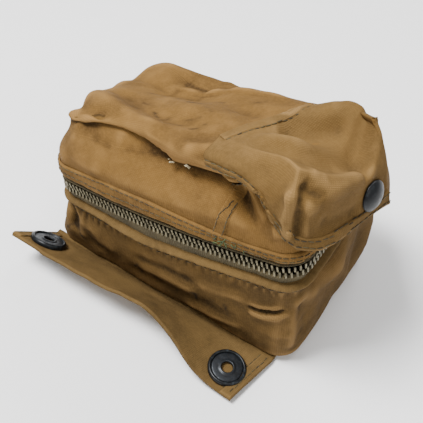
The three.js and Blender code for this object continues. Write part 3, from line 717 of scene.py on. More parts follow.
class POUCH_OT_lower_half(bpy.types.Operator):
    """Makes the lower half's cloth: one shell round the four sides, and the base"""
    bl_idname = "pouch.lower_half"
    bl_label = "Lower half cloth"

    def execute(self, context):
        self.shell(context.scene.pouch_sizes.wrinkle)
        self.base()
        return {"FINISHED"}

    def shell(self, wrinkle):
        bm = bmesh.new()

        def place(u, v):
            s = u * 4
            z = v * lower_edge(s)
            p = wall(s, z)
            down = 1 - np.clip(z / FOOT_HIGH, 0, 1)
            roll = FOOT_ROLL * (1 - np.sqrt(np.clip(1 - down ** 2, 0, 1)))
            flat = p[:, :2] - MIDDLE
            p[:, :2] -= flat / np.linalg.norm(flat, axis=1)[:, None] * roll[:, None]
            return p

        cloth_grid(bm, 4 * PER_SIDE, 46, place, (400, 46))
        bmesh.ops.remove_doubles(bm, verts=bm.verts, dist=0.02 * MM)
        p, n = outward(bm)
        top = chain_z(p[:, 0]) - WELT_LOW
        calm = smooth((top - p[:, 2] + 1) / 9) * smooth(p[:, 2] / 5)
        move = fold_field(p, n, LOWER_FOLDS) + swell_field(p, LOWER_SWELLS)
        move = move + wrinkles(p, wrinkle, 3)
        # a line of puckers draws the cloth in under the welt
        pucker = 0.35 * np.sin(p[:, 0] * 1.7 + 2 * lattice(p / 5, 9))
        pucker = pucker * np.exp(-((top - p[:, 2] - 3) / 3) ** 2)
        put(bm, p + n * (move * calm + pucker)[:, None])
        panels = ("front_lower_panel", "right_end_lower_panel", "back_lower_panel",
                  "left_end_lower_panel")
        piece = finish_mesh(bm, "lower_shell", "lower_half", "lower", panels, reach=7)
        stain_strokes(piece.data, "front", FRONT_MARKS)

    def base(self):
        bm = bmesh.new()

        def place(u, v):
            r, s = from_square(u * 2 - 1, v * 2 - 1)
            flat = wall(s, np.zeros_like(s))[:, :2] - MIDDLE
            far = np.linalg.norm(flat, axis=1)
            flat *= ((far - FOOT_ROLL + 0.1) / far * r)[:, None]
            return np.column_stack([MIDDLE + flat, np.full_like(u, CLOTH)])

        cloth_grid(bm, 36, 36, place, (128, 78))
        p, _ = coordinates(bm)
        rise = 0.5 * lattice(p / 11, 4) - 0.2
        p[:, 2] += np.clip(rise, -0.15, 1) * smooth((60 - np.abs(p[:, 0])) / 12)
        put(bm, p)
        base = finish_mesh(bm, "base_sheet", "lower_half", "lower", ("base_panel",),
                           reach=3)
        thicken(base, CLOTH - 0.2)


# ---------- upper half ----------
UPPER_FOLDS = [
    # front: the fold that runs down to the right under the hood, and soft drags below the lip
    ("front", [(27, 98), (36, 93), (50, 86), (63, 80)], 2.4, 2.6),
    ("front", [(30, 103), (42, 98), (56, 90)], -4.4, 3.2),
    ("front", [(35, 97), (44, 91), (55, 83)], -2.6, 3.0),
    ("front", [(33, 88), (44, 82), (52, 74)], -1.2, 2.6),
    ("front", [(52, 82), (58, 76), (62, 70)], 1.2, 1.8),
    ("front", [(-48, 78), (-34, 72), (-20, 70)], 0.9, 5.0),
    ("front", [(-20, 84), (0, 80), (16, 74)], -0.8, 5.0),
    # top: the pocket at the left corner, and the long drags across
    ("top", [(-54, -20), (-42, -28), (-26, -31)], -1.8, 3.0),
    ("top", [(-50, -14), (-36, -20), (-16, -27), (2, -29)], 1.6, 4.5),
    ("top", [(-44, -4), (-26, -14), (-6, -18), (12, -16)], -1.8, 5.0),
    ("top", [(-30, 6), (-10, -4), (14, -10), (28, -22)], 1.5, 5.5),
    ("top", [(-8, 14), (10, 6), (26, -2)], -1.4, 4.5),
    ("top", [(10, -36), (20, -30), (27, -18)], 1.2, 3.5),
    # left end, right end and back
    ("left", [(-26, 74), (-8, 68), (10, 66)], -2.0, 4.0),
    ("left", [(-20, 60), (-2, 66), (16, 76)], 1.8, 4.5),
    ("end", [(-30, 88), (-10, 84), (14, 90)], -1.8, 4.5),
    ("end", [(-6, 76), (2, 92), (0, 100)], 1.8, 4.5),
    ("back", [(-40, 72), (-10, 76), (24, 72), (44, 80)], -2.0, 4.5),
    ("back", [(-36, 82), (-6, 86), (30, 92)], 1.6, 4.5),
    ("back", [(-14, 66), (-8, 78), (-16, 90)], 1.2, 3.0),
]
UPPER_SWELLS = [
    ((-22, -41, 70), (26, 12, 9), 2.4),
    ((14, -40, 74), (18, 12, 8), 0.8),
    ((-50, -5, 74), (10, 22, 12), 1.4),
    ((62, 0, 84), (9, 24, 14), 1.4),
    ((4, 30, 74), (46, 12, 12), 1.6),
    ((-51, -27, 80), (9, 9, 10), 4.5),
]
# the front lip along X: how far the wall leans in up to it, how far it stands out and hangs,
# and its height above the rim
LIP_X = [-60, -50, -42, -30, -20, -8, 0, 6, 14, 28, 44, 60, 66]
LIP_LEAN = [2.5, 6.0, 8.0, 8.4, 8.4, 9.4, 10.6, 11.0, 10.8, 10.6, 8.0, 4.5, 1.5]
LIP_OUT = [2.5, 5.2, 5.0, 3.4, 2.4, 3.4, 5.0, 5.8, 6.2, 6.0, 3.8, 1.8, 0.5]
LIP_HIGH = [2.5, 4.2, 6.8, 8.6, 9.2, 7.6, 5.0, 2.6, 1.0, 0.6, 0.0, 0.0, 0.0]
LIP_START = 14.0  # the lean begins this far below the rim


def lip_moves(p, n):
    """The top cloth's fold over the front wall, and the top's slump towards the back."""
    h = p[:, 2] - (top_height(p[:, 0], p[:, 1]) - SHOULDER)
    lean, out, high = [np.interp(p[:, 0], LIP_X, table) for table in (LIP_LEAN, LIP_OUT, LIP_HIGH)]
    flat = n[:, :2] / np.maximum(np.linalg.norm(n[:, :2], axis=1), 0.15)[:, None]
    front = smooth((-p[:, 1] - 12) / 14)
    over = smooth((h - high) / 1.4)
    wall_in = lean * smooth((h + LIP_START) / (LIP_START + high))
    fold_in = (lean - out) * (1 - smooth((h - high) / (SHOULDER + 0.5 - high)))
    move = np.zeros_like(p)
    move[:, :2] = -flat * ((wall_in * (1 - over) + fold_in * over) * front)[:, None]
    hang = 0.75 * out * over * (1 - smooth((h - high - 1.2) / 3.5)) * front
    slump = np.interp(p[:, 0], [-62, -44, -28, -14, 0, 20, 40, 66], [8, 10, 14, 13, 7, 4, 2.5, 0])
    above = p[:, 2] - chain_z(p[:, 0]) - FACING_TOP
    slump = slump * smooth((p[:, 1] + 26) / 46) * smooth(above / 18)
    move[:, 1] -= 0.55 * slump * smooth(p[:, 1] / 30)
    move[:, 2] = -slump - hang
    return move


def upper_edge(s):
    """Height of the upper half's lower edge: behind the facing, or at the cloth hinge."""
    s = np.asarray(s, float)
    turn = np.where(s > 3, s - 4, s)
    on_zip = (turn >= ZIP_START - TINY) & (turn <= ZIP_END + TINY)
    return chain_height(s) + np.where(on_zip, 6.5, FACING_TOP)


class POUCH_OT_upper_half(bpy.types.Operator):
    """Makes the upper half's cloth: one shell of walls and slumped top"""
    bl_idname = "pouch.upper_half"
    bl_label = "Upper half cloth"

    def execute(self, context):
        sizes = context.scene.pouch_sizes
        bm = bmesh.new()

        def sides(u, v):
            s = u * 4
            low, high = upper_edge(s), rim_height(s)
            return wall(s, low + (high - low) * v)

        def top(u, v):
            return top_point(u * 2 - 1, v * 2 - 1)

        cloth_grid(bm, 4 * PER_SIDE, 36, sides, (400, 36))
        cloth_grid(bm, PER_SIDE, PER_SIDE, top, (118, 72))
        bmesh.ops.remove_doubles(bm, verts=bm.verts, dist=0.02 * MM)
        p, n = outward(bm, lambda p, n: n[np.argmax(p[:, 2]), 2])
        calm = smooth((p[:, 2] - chain_z(p[:, 0]) - FACING_TOP + 1) / 8)
        move = fold_field(p, n, UPPER_FOLDS) + swell_field(p, UPPER_SWELLS)
        move = move + wrinkles(p, sizes.wrinkle, 17)
        p = p + n * (move * calm)[:, None] + lip_moves(p, n)
        put(bm, p)
        free = [v for v, q in zip(bm.verts, p) if q[2] > chain_z(q[0]) + FACING_TOP + 2]
        for _ in range(2):
            relax(bm, free)
        panels = ("top_panel", "front_upper_left_panel", "front_upper_right_panel",
                  "right_end_upper_panel", "left_end_upper_panel")
        piece = finish_mesh(bm, "upper_shell", "upper_half", "canvas", panels, reach=7)
        stain_strokes(piece.data, "top", TOP_MARKS)
        return {"FINISHED"}


class POUCH_OT_felled_seam(bpy.types.Operator):
    """Makes the flat-felled seam up the front's upper panels"""
    bl_idname = "pouch.felled_seam"
    bl_label = "Felled seam"

    def execute(self, context):
        tree = tree_of("upper_shell")
        bm = bmesh.new()

        def place(u, v):
            x = 32 + 4.5 * v ** 1.3 + (u - 0.5) * 5.6
            before = np.stack([x, -50 + 0 * x, 67.0 + 27 * v], -1)
            out = []
            for q, h in zip(before, 0.95 * pillow(u, 0.12) - 0.4):
                hit, normal, _, _ = tree.ray_cast(Vector(q * MM), Vector((0, 1, 0)))
                out.append(np.array(hit) / MM + np.array(normal) * h)
            return np.array(out)

        cloth_grid(bm, 12, 46, place, (6, 27))
        outward(bm)
        finish_mesh(bm, "felled_seam_fold", "upper_half", "canvas", ("felled_seam_strip",), reach=3)
        return {"FINISHED"}


class POUCH_OT_cloth_hinge(bpy.types.Operator):
    """Makes the back band of cloth that joins the halves"""
    bl_idname = "pouch.cloth_hinge"
    bl_label = "Back hinge cloth"

    def execute(self, context):
        sizes = context.scene.pouch_sizes
        bm = bmesh.new()

        def place(u, v):
            s = ZIP_END + (4 + ZIP_START - ZIP_END) * u
            low, high = chain_height(s) - WELT_LOW, chain_height(s) + FACING_TOP
            return wall(s, low + (high - low) * v)

        cloth_grid(bm, 150, 26, place, (130, 25))
        p, n = outward(bm, lambda p, n: (n[:, 1] * p[:, 1]).sum())
        above = p[:, 2] - chain_z(p[:, 0])
        calm = smooth((above + WELT_LOW) / 5) * smooth((FACING_TOP - above) / 5)
        folds = [("back", [(-44, 52), (-10, 56), (24, 55), (46, 60)], -1.6, 2.4),
                 ("back", [(-40, 46), (0, 62), (40, 66)], 0.9, 3.0)]
        move = fold_field(p, n, folds) + wrinkles(p, sizes.wrinkle, 23)
        put(bm, p + n * (move * calm)[:, None])
        piece = finish_mesh(bm, "back_hinge_cloth", None, "canvas", ("back_upper_panel",), reach=5)
        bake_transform(piece)
        return {"FINISHED"}


# ---------- zip ----------
TAPE_REACH = (14.4, 13.0)  # how far the lower and the upper tape go from the chain's line
TAPE_INNER, BEAD = 2.6, (2.9, 4.1)
TOOTH = (0.85, 3.0, 1.7)  # along, across and through the chain
TOOTH_MIDDLE, TOOTH_PROUD = 1.45, 0.35
OPENING = 1.9  # between each row and the chain's line, ahead of the slider


def open_shift(s):
    """How far each row stands off the chain's line: closed behind the slider, open ahead."""
    return OPENING * np.clip((THROAT_S - s) / (THROAT_S - SLIDER_S), 0, 1)


def row_depth(s):
    """Depth of the rows' middle behind the cloth: deep at the slider, then nearly flush."""
    return ROW_DEPTH - 2.0 * smooth((np.asarray(s) - THROAT_S) / 0.16)


def wall_normal(s, z):
    n = np.cross(wall(s + HAIR, z) - wall(s - HAIR, z), wall(s, z + HAIR) - wall(s, z - HAIR))
    return n / np.linalg.norm(n, axis=-1, keepdims=True)


def chain_point(s):
    return wall(s, chain_height(s))


def band(near, far, out, columns=330, rows=4):
    """A strip of cloth along the zip, from near to far of the chain's line and out of the wall."""
    bm = bmesh.new()

    def place(u, v):
        s = ZIP_START + (ZIP_END - ZIP_START) * u
        z0 = chain_height(s)
        x = wall(s, z0)[:, 0]
        a, b = near(s, x), far(s, x)
        z = z0 + a + (b - a) * v
        return wall(s, z) + wall_normal(s, z) * out(s, x, v)[..., None]

    cloth_grid(bm, columns, rows, place, (260, 10))
    return bm, *outward(bm)


def tooth_template():
    """One tooth across the chain, thinner at its head, towards -Y, than at its clamp."""
    bm = bmesh.new()
    bmesh.ops.create_cube(bm, size=1)
    bmesh.ops.scale(bm, verts=bm.verts, vec=Vector(TOOTH) * MM)
    across = [e for e in bm.edges if abs(e.verts[0].co.y - e.verts[1].co.y) > 1e-6]
    bmesh.ops.subdivide_edges(bm, edges=across, cuts=2)
    for v in bm.verts:
        if v.co.y < 0:
            v.co.x *= 1.02
            v.co.z *= 0.8
    bmesh.ops.bevel(bm, geom=bm.edges, offset=0.22 * MM, segments=1, affect="EDGES", profile=0.5,
                    material=-1)
    mesh = bpy.data.meshes.new("tooth template")
    bm.to_mesh(mesh)
    bm.free()
    return mesh


class POUCH_OT_zip(bpy.types.Operator):
    """Makes the tapes, the two rows of teeth, the welt and the facing"""
    bl_idname = "pouch.zip"
    bl_label = "Zip"

    def execute(self, context):
        for (half, side), reach in zip(HALVES, TAPE_REACH):
            def out(s, x, v):
                weave = 0.12 * lattice(np.stack([x / 3, s * 9, v * 3], -1), 41)
                return -row_depth(s) - 0.3 - 0.9 * v - 0.35 * np.sin(v * math.pi) + weave

            bm, _, _ = band(lambda s, x: side * (TAPE_INNER + open_shift(s)),
                            lambda s, x: side * reach, out, rows=10)
            name = f"{half}_zip_tape"
            tape = finish_mesh(bm, f"{name}_woven", f"{half}_half", "tape", (name,), 3)
            thicken(tape, 0.7, 0.0)
        self.teeth(context.scene.pouch_sizes.tooth_pitch)
        # a beaded cord is sewn along the clamp of each row
        for half, side in HALVES:
            bm, _, _ = band(lambda s, x: side * (BEAD[0] + open_shift(s)),
                            lambda s, x: side * (BEAD[1] + open_shift(s)),
                            lambda s, x, v: -row_depth(s) + 0.1 + 0.7 * np.sin(v * math.pi), rows=6)
            finish_mesh(bm, f"{half}_tape_bead", f"{half}_half", "tape", (), 2)
        self.welt()
        self.facing()
        return {"FINISHED"}

    def teeth(self, pitch):
        template = tooth_template()
        s = np.linspace(ZIP_START, ZIP_END, 4000)
        step = np.linalg.norm(np.diff(chain_point(s), axis=0), axis=1)
        run = np.concatenate([[0], np.cumsum(step)])
        for half, side in HALVES:
            bm = bmesh.new()
            # the two rows stand half a pitch apart along the chain
            for d in np.arange(pitch / 2 * (1 if side > 0 else 2), run[-1] - 0.5, pitch):
                at = float(np.interp(d, run, s))
                z = chain_height(at) + side * (TOOTH_MIDDLE + open_shift(at))
                n = wall_normal(at, z)
                along = (chain_point(at + HAIR) - chain_point(at - HAIR)) * side
                middle = wall(at, z) - n * (row_depth(at) - TOOTH_PROUD)
                stamp(bm, template, frame_of(middle * MM, along, n))
            name = f"{half}_teeth_row"
            row = finish_mesh(bm, f"{name}_teeth", f"{half}_half", "zip", (name,))
            row.data.shade_flat()
        bpy.data.meshes.remove(template)

    def welt(self):
        """The rolled fold along the lower half's edge."""
        bm, p, n = band(
            lambda s, x: welt_line(x) + 1.4, lambda s, x: welt_line(x) - 2.4,
            lambda s, x, v: 1.9 * np.sin(v * math.pi) ** 0.6 - 1.6 * (1 - v) ** 3 - 1.6 * v ** 6,
            columns=380, rows=12)
        put(bm, p + n * (0.18 * lattice(p / 2.2, 51) + 0.25 * lattice(p / 8, 52))[:, None])
        finish_mesh(bm, "lower_welt_roll", "lower_half", "flange", ("lower_welt",), reach=4)

    def facing(self):
        """The folded strip that covers the chain's upper side."""
        def low(s, x):
            waver = 0.25 * lattice(np.stack([x / 6, s * 6, x * 0], -1), 61)
            return 5.0 + 1.6 * smooth((THROAT_S + 0.1 - s) / 0.1) + waver

        def out(s, x, v):
            # the lower edge turns under in a soft roll
            turn = 2.4 * np.clip(1 - v / 0.16, 0, 1) ** 2.2
            tuck = 0.75 * np.clip((v - 0.93) / 0.07, 0, 1)
            return 1.0 - turn + 0.35 * np.sin(np.clip(v, 0, 1) * math.pi) - tuck

        bm, p, n = band(low, lambda s, x: facing_high(x), out, columns=380, rows=18)
        put(bm, p + n * (0.15 * lattice(p / 2.5, 62) + 0.3 * lattice(p / 9, 63))[:, None])
        finish_mesh(bm, "upper_facing_strip", "upper_half", "canvas", ("upper_zip_facing",),
                    reach=4)


# ---------- hood ----------
def curve_through(points):
    """A smooth curve through points, as a function of 0 to 1."""
    points = np.asarray(points, float)
    step = np.linalg.norm(np.diff(points, axis=0), axis=1) ** 0.5
    knots = np.concatenate([[0], np.cumsum(step)])
    slopes = np.gradient(points, knots, axis=0)

    def at(t):
        k = np.clip(np.asarray(t, float), 0, 1) * knots[-1]
        i = np.clip(np.searchsorted(knots, k, side="right") - 1, 0, len(knots) - 2)
        h = (knots[i + 1] - knots[i])[..., None]
        f = ((k - knots[i]) / (knots[i + 1] - knots[i]))[..., None]
        f2, f3 = f ** 2, f ** 3
        start = (2 * f3 - 3 * f2 + 1) * points[i] + (f3 - 2 * f2 + f) * h * slopes[i]
        end = (3 * f2 - 2 * f3) * points[i + 1] + (f3 - f2) * h * slopes[i + 1]
        return start + end
    return at


def coons(bottom, top, left, right):
    """A sheet between four curves that meet at their ends."""
    def place(u, v):
        a, b, c, d = bottom(0.0), bottom(1.0), top(0.0), top(1.0)
        u1, v1 = u[:, None], v[:, None]
        flat = (1 - u1) * (1 - v1) * a + u1 * (1 - v1) * b + (1 - u1) * v1 * c + u1 * v1 * d
        return (1 - v1) * bottom(u) + v1 * top(u) + (1 - u1) * left(v) + u1 * right(v) - flat
    return place


HOOD_TIP_LOW, HOOD_RIDGE = (27, -41.4, 102.4), (26, -32.5, 108.5)
HOOD_NEAR, HOOD_FAR, HOOD_SEAM_FAR = (58.2, -35.8, 114.6), (66, 4, 109.8), (40, 4, 101.5)
HOOD_NEAR_HEM, HOOD_FAR_HEM = (64.2, -43, 84.8), (80, -1, 78)
HOOD_BACK_HEM, HOOD_BACK_TOP = (68, 12, 91), (60, 8.5, 106)
FRONT_HEM = curve_through([HOOD_TIP_LOW, (36.3, -42, 103.4), (43.8, -42.4, 103.4),
                           (48.9, -42.6, 101.4), (51.6, -42.7, 96.6), (55.1, -42.8, 91.4),
                           (59.3, -43, 87.0), HOOD_NEAR_HEM])
FRONT_RIDGE = curve_through([HOOD_RIDGE, (32, -33.4, 110), (39, -34, 111.2), (50, -32, 112.8),
                             HOOD_NEAR])
TIP_EDGE = curve_through([HOOD_TIP_LOW, (25.2, -40.8, 106.4), HOOD_RIDGE])
DART_EDGE = curve_through([HOOD_NEAR_HEM, (61.2, -42.6, 93.4), (60.4, -42.4, 104),
                           (59.4, -40, 110.4), HOOD_NEAR])
END_HEM = curve_through([HOOD_NEAR_HEM, (69, -38.5, 82.6), (72, -31.9, 81.6), (75, -18, 80.2),
                         (78, -7, 79), HOOD_FAR_HEM])
END_RIDGE = curve_through([HOOD_NEAR, (62, -31.6, 111.2), (66, -26.6, 108), (69.6, -18, 101.6),
                           (71, -10.6, 97), (69.2, -3, 102), HOOD_FAR])
FAR_EDGE = curve_through([HOOD_FAR_HEM, (77.8, -1.6, 88), (76, -0.6, 94.7), (73.6, 0.6, 101.4),
                          (70.6, 2, 107), HOOD_FAR])
CROSS_SEAM = curve_through([HOOD_RIDGE, (29, -22, 106.2), (34, -10, 103.8), HOOD_SEAM_FAR])
BACK_EDGE = curve_through([HOOD_SEAM_FAR, (47, 7, 104.5), (54, 9.6, 107.2), (58.6, 9.4, 107),
                           (61.4, 7.4, 105.2), (63.6, 5, 106.4), HOOD_FAR])
BACK_LOW = curve_through([HOOD_FAR_HEM, (75, 7, 84), HOOD_BACK_HEM])
BACK_SIDE = curve_through([HOOD_BACK_HEM, (64, 11, 99), HOOD_BACK_TOP])
BACK_TOP = curve_through([HOOD_FAR, (63, 6.8, 107.2), HOOD_BACK_TOP])
HOOD_FOLDS = [
    ("all", [(38, -16, 105.6), (50, -8, 106), (61, 1, 106.4)], -4.6, 5.0),
    ("all", [(34, -27, 108.4), (47, -21, 110), (56, -17, 110), (61, -10, 109), (65, -1, 109)],
     3.8, 3.8),
    ("all", [(59.5, -37, 111), (62.5, -36, 106), (66, -31, 103)], -2.8, 2.6),
    ("all", [(58.5, -39, 112), (59, -43, 104), (58.5, -43, 96), (61, -43, 87)], 1.4, 1.8),
    ("all", [(61.8, -39.5, 110), (63, -41, 102), (63.4, -42, 93), (65, -42.4, 87)], -1.8, 1.7),
    ("all", [(44, -38, 108), (52, -41, 100), (58, -43, 92)], 1.1, 4.0),
    ("all", [(32, -37, 106.5), (42, -38, 107.5), (52, -37, 108.5)], -0.9, 3.2),
    ("all", [(66, -36, 94), (70, -27, 91), (74, -16, 86)], -1.6, 4.5),
    ("all", [(63, -36, 107), (67, -28, 104), (71, -16, 100), (74, -4, 98)], 1.9, 3.2),
    ("all", [(72, -10, 96), (74, -4, 90), (76, -3, 83)], -0.8, 3.0),
    ("all", [(52, -28, 111), (60, -22, 108), (66, -16, 104)], -0.7, 4.5),
]


HOOD_FRONT = coons(FRONT_HEM, FRONT_RIDGE, TIP_EDGE, DART_EDGE)
HOOD_END = coons(END_HEM, END_RIDGE, DART_EDGE, FAR_EDGE)
FRONT_HIGH, END_HIGH, HEM_HIGH = 20, 27, 4.6  # rough heights of the two facets and their hem
SEAM_ACROSS = np.array([0.92, -0.36, 0.1])


class POUCH_OT_hood(bpy.types.Operator):
    """Makes the boxed hood over the right end, its hems, dart and cross seam"""
    bl_idname = "pouch.hood"
    bl_label = "Hood"

    def execute(self, context):
        sizes = context.scene.pouch_sizes
        bm = bmesh.new()
        cloth_grid(bm, 66, 36, HOOD_FRONT, (42, 20))
        cloth_grid(bm, 66, 70, coons(FRONT_RIDGE, BACK_EDGE, CROSS_SEAM, END_RIDGE), (36, 46))
        cloth_grid(bm, 70, 36, HOOD_END, (46, 28))
        cloth_grid(bm, 24, 36, coons(BACK_LOW, BACK_TOP, FAR_EDGE, BACK_SIDE), (18, 28))
        bmesh.ops.remove_doubles(bm, verts=bm.verts, dist=0.05 * MM)
        outward(bm, lambda p, n: (n * (p - [50, -12, 80])).sum())
        inner = [v for v in bm.verts if not v.is_boundary]
        for _ in range(3):
            relax(bm, inner)
        bm.normal_update()
        p, n = coordinates(bm)
        rim = np.array([0.0 if v.is_boundary else 1.0 for v in bm.verts])
        move = fold_field(p, n, HOOD_FOLDS) + wrinkles(p, sizes.wrinkle * 0.7, 29)
        put(bm, p + n * (move * rim)[:, None])
        relax(bm, inner)
        panels = ("hood_top_panel", "hood_front_panel", "hood_end_panel", "hood_back_panel")
        finish_mesh(bm, "hood_shell", "hood", "hood", panels, reach=6)
        self.hem()
        self.seam()
        return {"FINISHED"}

    def hem(self):
        """The doubled hem along the front and the end."""
        tree = tree_of("hood_shell")
        bm = bmesh.new()

        def place(u, v):
            turn = 0.47
            front = HOOD_FRONT(np.clip(u / turn, 0, 1), v * HEM_HIGH / FRONT_HIGH)
            end = HOOD_END(np.clip((u - turn) / (1 - turn), 0, 1), v * HEM_HIGH / END_HIGH)
            p = np.where((u <= turn)[:, None], front, end)
            under = v < 0.05
            p = on_cloth(tree, p, np.where(under, -0.9, 0.55 * pillow(v, 0.1) + 0.1))
            return p - np.outer(under, (0, 0, 0.5))

        cloth_grid(bm, 150, 12, place, (90, 5))
        outward(bm)
        finish_mesh(bm, "hood_hem_fold", "hood", "hood", ("hood_front_hem", "hood_end_hem"),
                    reach=3)

    def seam(self):
        """The felled cross seam that joins the hood to the top."""
        tree = tree_of("hood_shell", "upper_shell")
        bm = bmesh.new()

        def place(u, v):
            line = CROSS_SEAM(u) + SEAM_ACROSS * 5.0 * (v - 0.25)[:, None]
            return on_cloth(tree, line, np.where((v > 0) & (v < 1), 0.6 * pillow(v, 0.15), -0.2))

        cloth_grid(bm, 70, 10, place, (46, 5))
        outward(bm, upward)
        finish_mesh(bm, "cross_seam_fold", "hood", "hood", ("cross_seam_tape",), reach=3)


# ---------- flange ----------
FLANGE_LEFT, FLANGE_RIGHT, FLANGE_WIDTH, FLANGE_Y, FLANGE_Z = -62.0, 60.0, 26.0, -41.0, 2.4
FLANGE_ROOT = 3.0  # this much of it runs on under the pouch
FLANGE_SKEW = 5.0  # the outer edge lies this far to the left of the root
FLANGE_STEP = 0.05  # a step over the flange for its slopes
SOCKET_X, SOCKET_W = (-51.5, 49.5), 15.5
# how far the flange is turned up along X, in degrees
RAISE_X = [-62, -40, -11, 4, 12, 21, 32, 41, 48, 60]
RAISE = [42, 41, 42, 46, 47, 43, 31, 15, 5, 3]


def flange_at(x, w):
    """A point of the flange's upper face, w from its root; it twists down to the right."""
    xs = np.linspace(-60, 66, 127)
    raised = np.pad(np.interp(xs, RAISE_X, RAISE), 4, mode="edge")
    raised = np.convolve(raised, np.ones(9) / 9, "valid")
    angle = np.radians(np.interp(x, xs, raised))
    return np.stack([x - FLANGE_SKEW * w / FLANGE_WIDTH, FLANGE_Y - w * np.cos(angle),
                     FLANGE_Z + w * np.sin(angle)], -1)


def flange_ways(x, w):
    """The flange's direction along its root, and its upward normal."""
    along = flange_at(x + FLANGE_STEP, w) - flange_at(x - FLANGE_STEP, w)
    normal = np.cross(along, flange_at(x, w + FLANGE_STEP) - flange_at(x, w - FLANGE_STEP))
    normal /= np.linalg.norm(normal, axis=1)[:, None]
    return along, normal * np.sign(normal[:, 2:3])


class POUCH_OT_flange(bpy.types.Operator):
    """Makes the flange that carries the two press studs' sockets"""
    bl_idname = "pouch.flange"
    bl_label = "Flange"

    def execute(self, context):
        bm = bmesh.new()

        def place(u, v):
            x = FLANGE_LEFT + (FLANGE_RIGHT - FLANGE_LEFT) * u
            w = -FLANGE_ROOT + (FLANGE_WIDTH + FLANGE_ROOT) * v
            p = flange_at(x, np.maximum(w, 0))
            p[..., 1] += np.maximum(-w, 0)
            return p

        cloth_grid(bm, 150, 42, place, (122, 29))
        p, n = outward(bm, upward)
        w = np.hypot(np.minimum(p[:, 1] - FLANGE_Y, 0), p[:, 2] - FLANGE_Z)
        calm = smooth(w / 6)
        for x in SOCKET_X:
            d = np.hypot(p[:, 0] + FLANGE_SKEW * w / FLANGE_WIDTH - x, w - SOCKET_W)
            calm = calm * smooth((d - 8) / 5)
        edge = smooth((p[:, 0] - FLANGE_LEFT) / 8) * smooth((FLANGE_RIGHT - p[:, 0]) / 8)
        wave = 0.8 * lattice(p / 17, 71) + 0.3 * lattice(p / 6, 72)
        put(bm, p + n * (wave * calm * (0.4 + 0.6 * edge))[:, None])
        sheet = finish_mesh(bm, "flange_cloth", "flange", "flange",
                            ("flange_panel", "flange_left_hem", "flange_right_hem"), reach=6)
        thicken(sheet, 1.5)
        self.hem("left", FLANGE_LEFT - 0.3, FLANGE_LEFT + 4.5, 1.0)
        self.hem("right", FLANGE_RIGHT - 5.4, FLANGE_RIGHT + 0.3, 0.0)
        return {"FINISHED"}

    def hem(self, side, x0, x1, inner):
        """A doubled hem at one end, from x0 to x1, with a step at its inner edge."""
        bm = bmesh.new()

        def place(u, v):
            x = x0 + (x1 - x0) * u
            w = 0.5 + (FLANGE_WIDTH + 0.2 - 0.5) * v
            _, normal = flange_ways(x, w)
            step = np.clip(np.abs(u - inner) / 0.12, 0, 1) ** 0.5
            tip = np.clip((1 - v) / 0.03, 0, 1) ** 0.5
            out = np.clip(np.abs(u - (1 - inner)) / 0.1, 0, 1) ** 0.5
            return flange_at(x, w) + normal * (1.1 * step * tip * out - 0.3)[:, None]

        cloth_grid(bm, 14, 40, place, (5, 26))
        outward(bm, upward)
        finish_mesh(bm, f"flange_{side}_hem_fold", "flange", "flange", reach=3)


# ---------- press studs ----------
# half profiles of (radius, height) in millimetres
# the rim: a rolled black ring, then its inner wall down to the seat
SOCKET_RIM = [(5.4, 0.25), (8.0, 0.2), (8.25, 0.5), (8.25, 1.5), (8.05, 2.1), (7.55, 2.45),
              (7.05, 2.35), (6.85, 2.0), (6.8, 1.2), (5.4, 1.1), (5.4, 0.25)]
# the spring plate: a dished disc with a raised bead round its hole
SPRING_PLATE = [(2.5, 0.9), (2.5, 1.9), (2.75, 2.15), (3.1, 2.15), (3.45, 1.85), (4.2, 1.75),
                (6.1, 1.85), (6.6, 1.7), (6.7, 1.5), (6.7, 1.25), (2.9, 1.2), (2.5, 0.9)]
# the hood's cap: a low glossy dome over a rolled edge
CAP = [(0.01, 2.7), (1.5, 2.6), (3.0, 2.25), (4.4, 1.65), (5.4, 1.0), (5.9, 0.55), (6.05, 0.15),
       (5.8, -0.2), (4.6, -0.4), (0.01, -0.4)]


def turned(name, body, profile, matrix, finish, replaced):
    """Makes a piece of a half profile spun about Z and put under a matrix."""
    bm = bmesh.new()
    verts = [bm.verts.new((r * MM, 0, h * MM)) for r, h in profile]
    edges = [bm.edges.new(pair) for pair in zip(verts, verts[1:])]
    bmesh.ops.spin(bm, geom=verts + edges, cent=(0, 0, 0), axis=(0, 0, 1), dvec=(0, 0, 0),
                   angle=2 * math.pi, steps=48, use_merge=True, use_duplicate=False)
    bmesh.ops.remove_doubles(bm, verts=bm.verts, dist=0.003 * MM)
    bmesh.ops.transform(bm, matrix=matrix, verts=bm.verts)
    bmesh.ops.recalc_face_normals(bm, faces=bm.faces)
    finish_mesh(bm, name, body, finish, (replaced,))


class POUCH_OT_press_studs(bpy.types.Operator):
    """Makes the flange's two sockets and the hood's cap"""
    bl_idname = "pouch.press_studs"
    bl_label = "Press studs"

    def execute(self, context):
        for side, at in zip(("left", "right"), SOCKET_X):
            x, w = np.array([at]), np.array([SOCKET_W])
            along, normal = flange_ways(x, w)
            place = frame_of(flange_at(x, w)[0] * MM, along[0], normal[0])
            turned(f"{side}_socket_rim", "flange", SOCKET_RIM, place, "black",
                   f"{side}_socket_plate")
            turned(f"{side}_socket_disc", "flange", SPRING_PLATE, place, "slate",
                   f"{side}_socket_spring_plate")
        low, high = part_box("snap_cap")
        hit, normal, _, _ = tree_of("hood_shell").find_nearest((low + high) / 2)
        turned("hood_cap_dome", "hood", CAP, frame_of(hit, (0, 1, 0), normal), "black",
               "snap_cap")
        return {"FINISHED"}


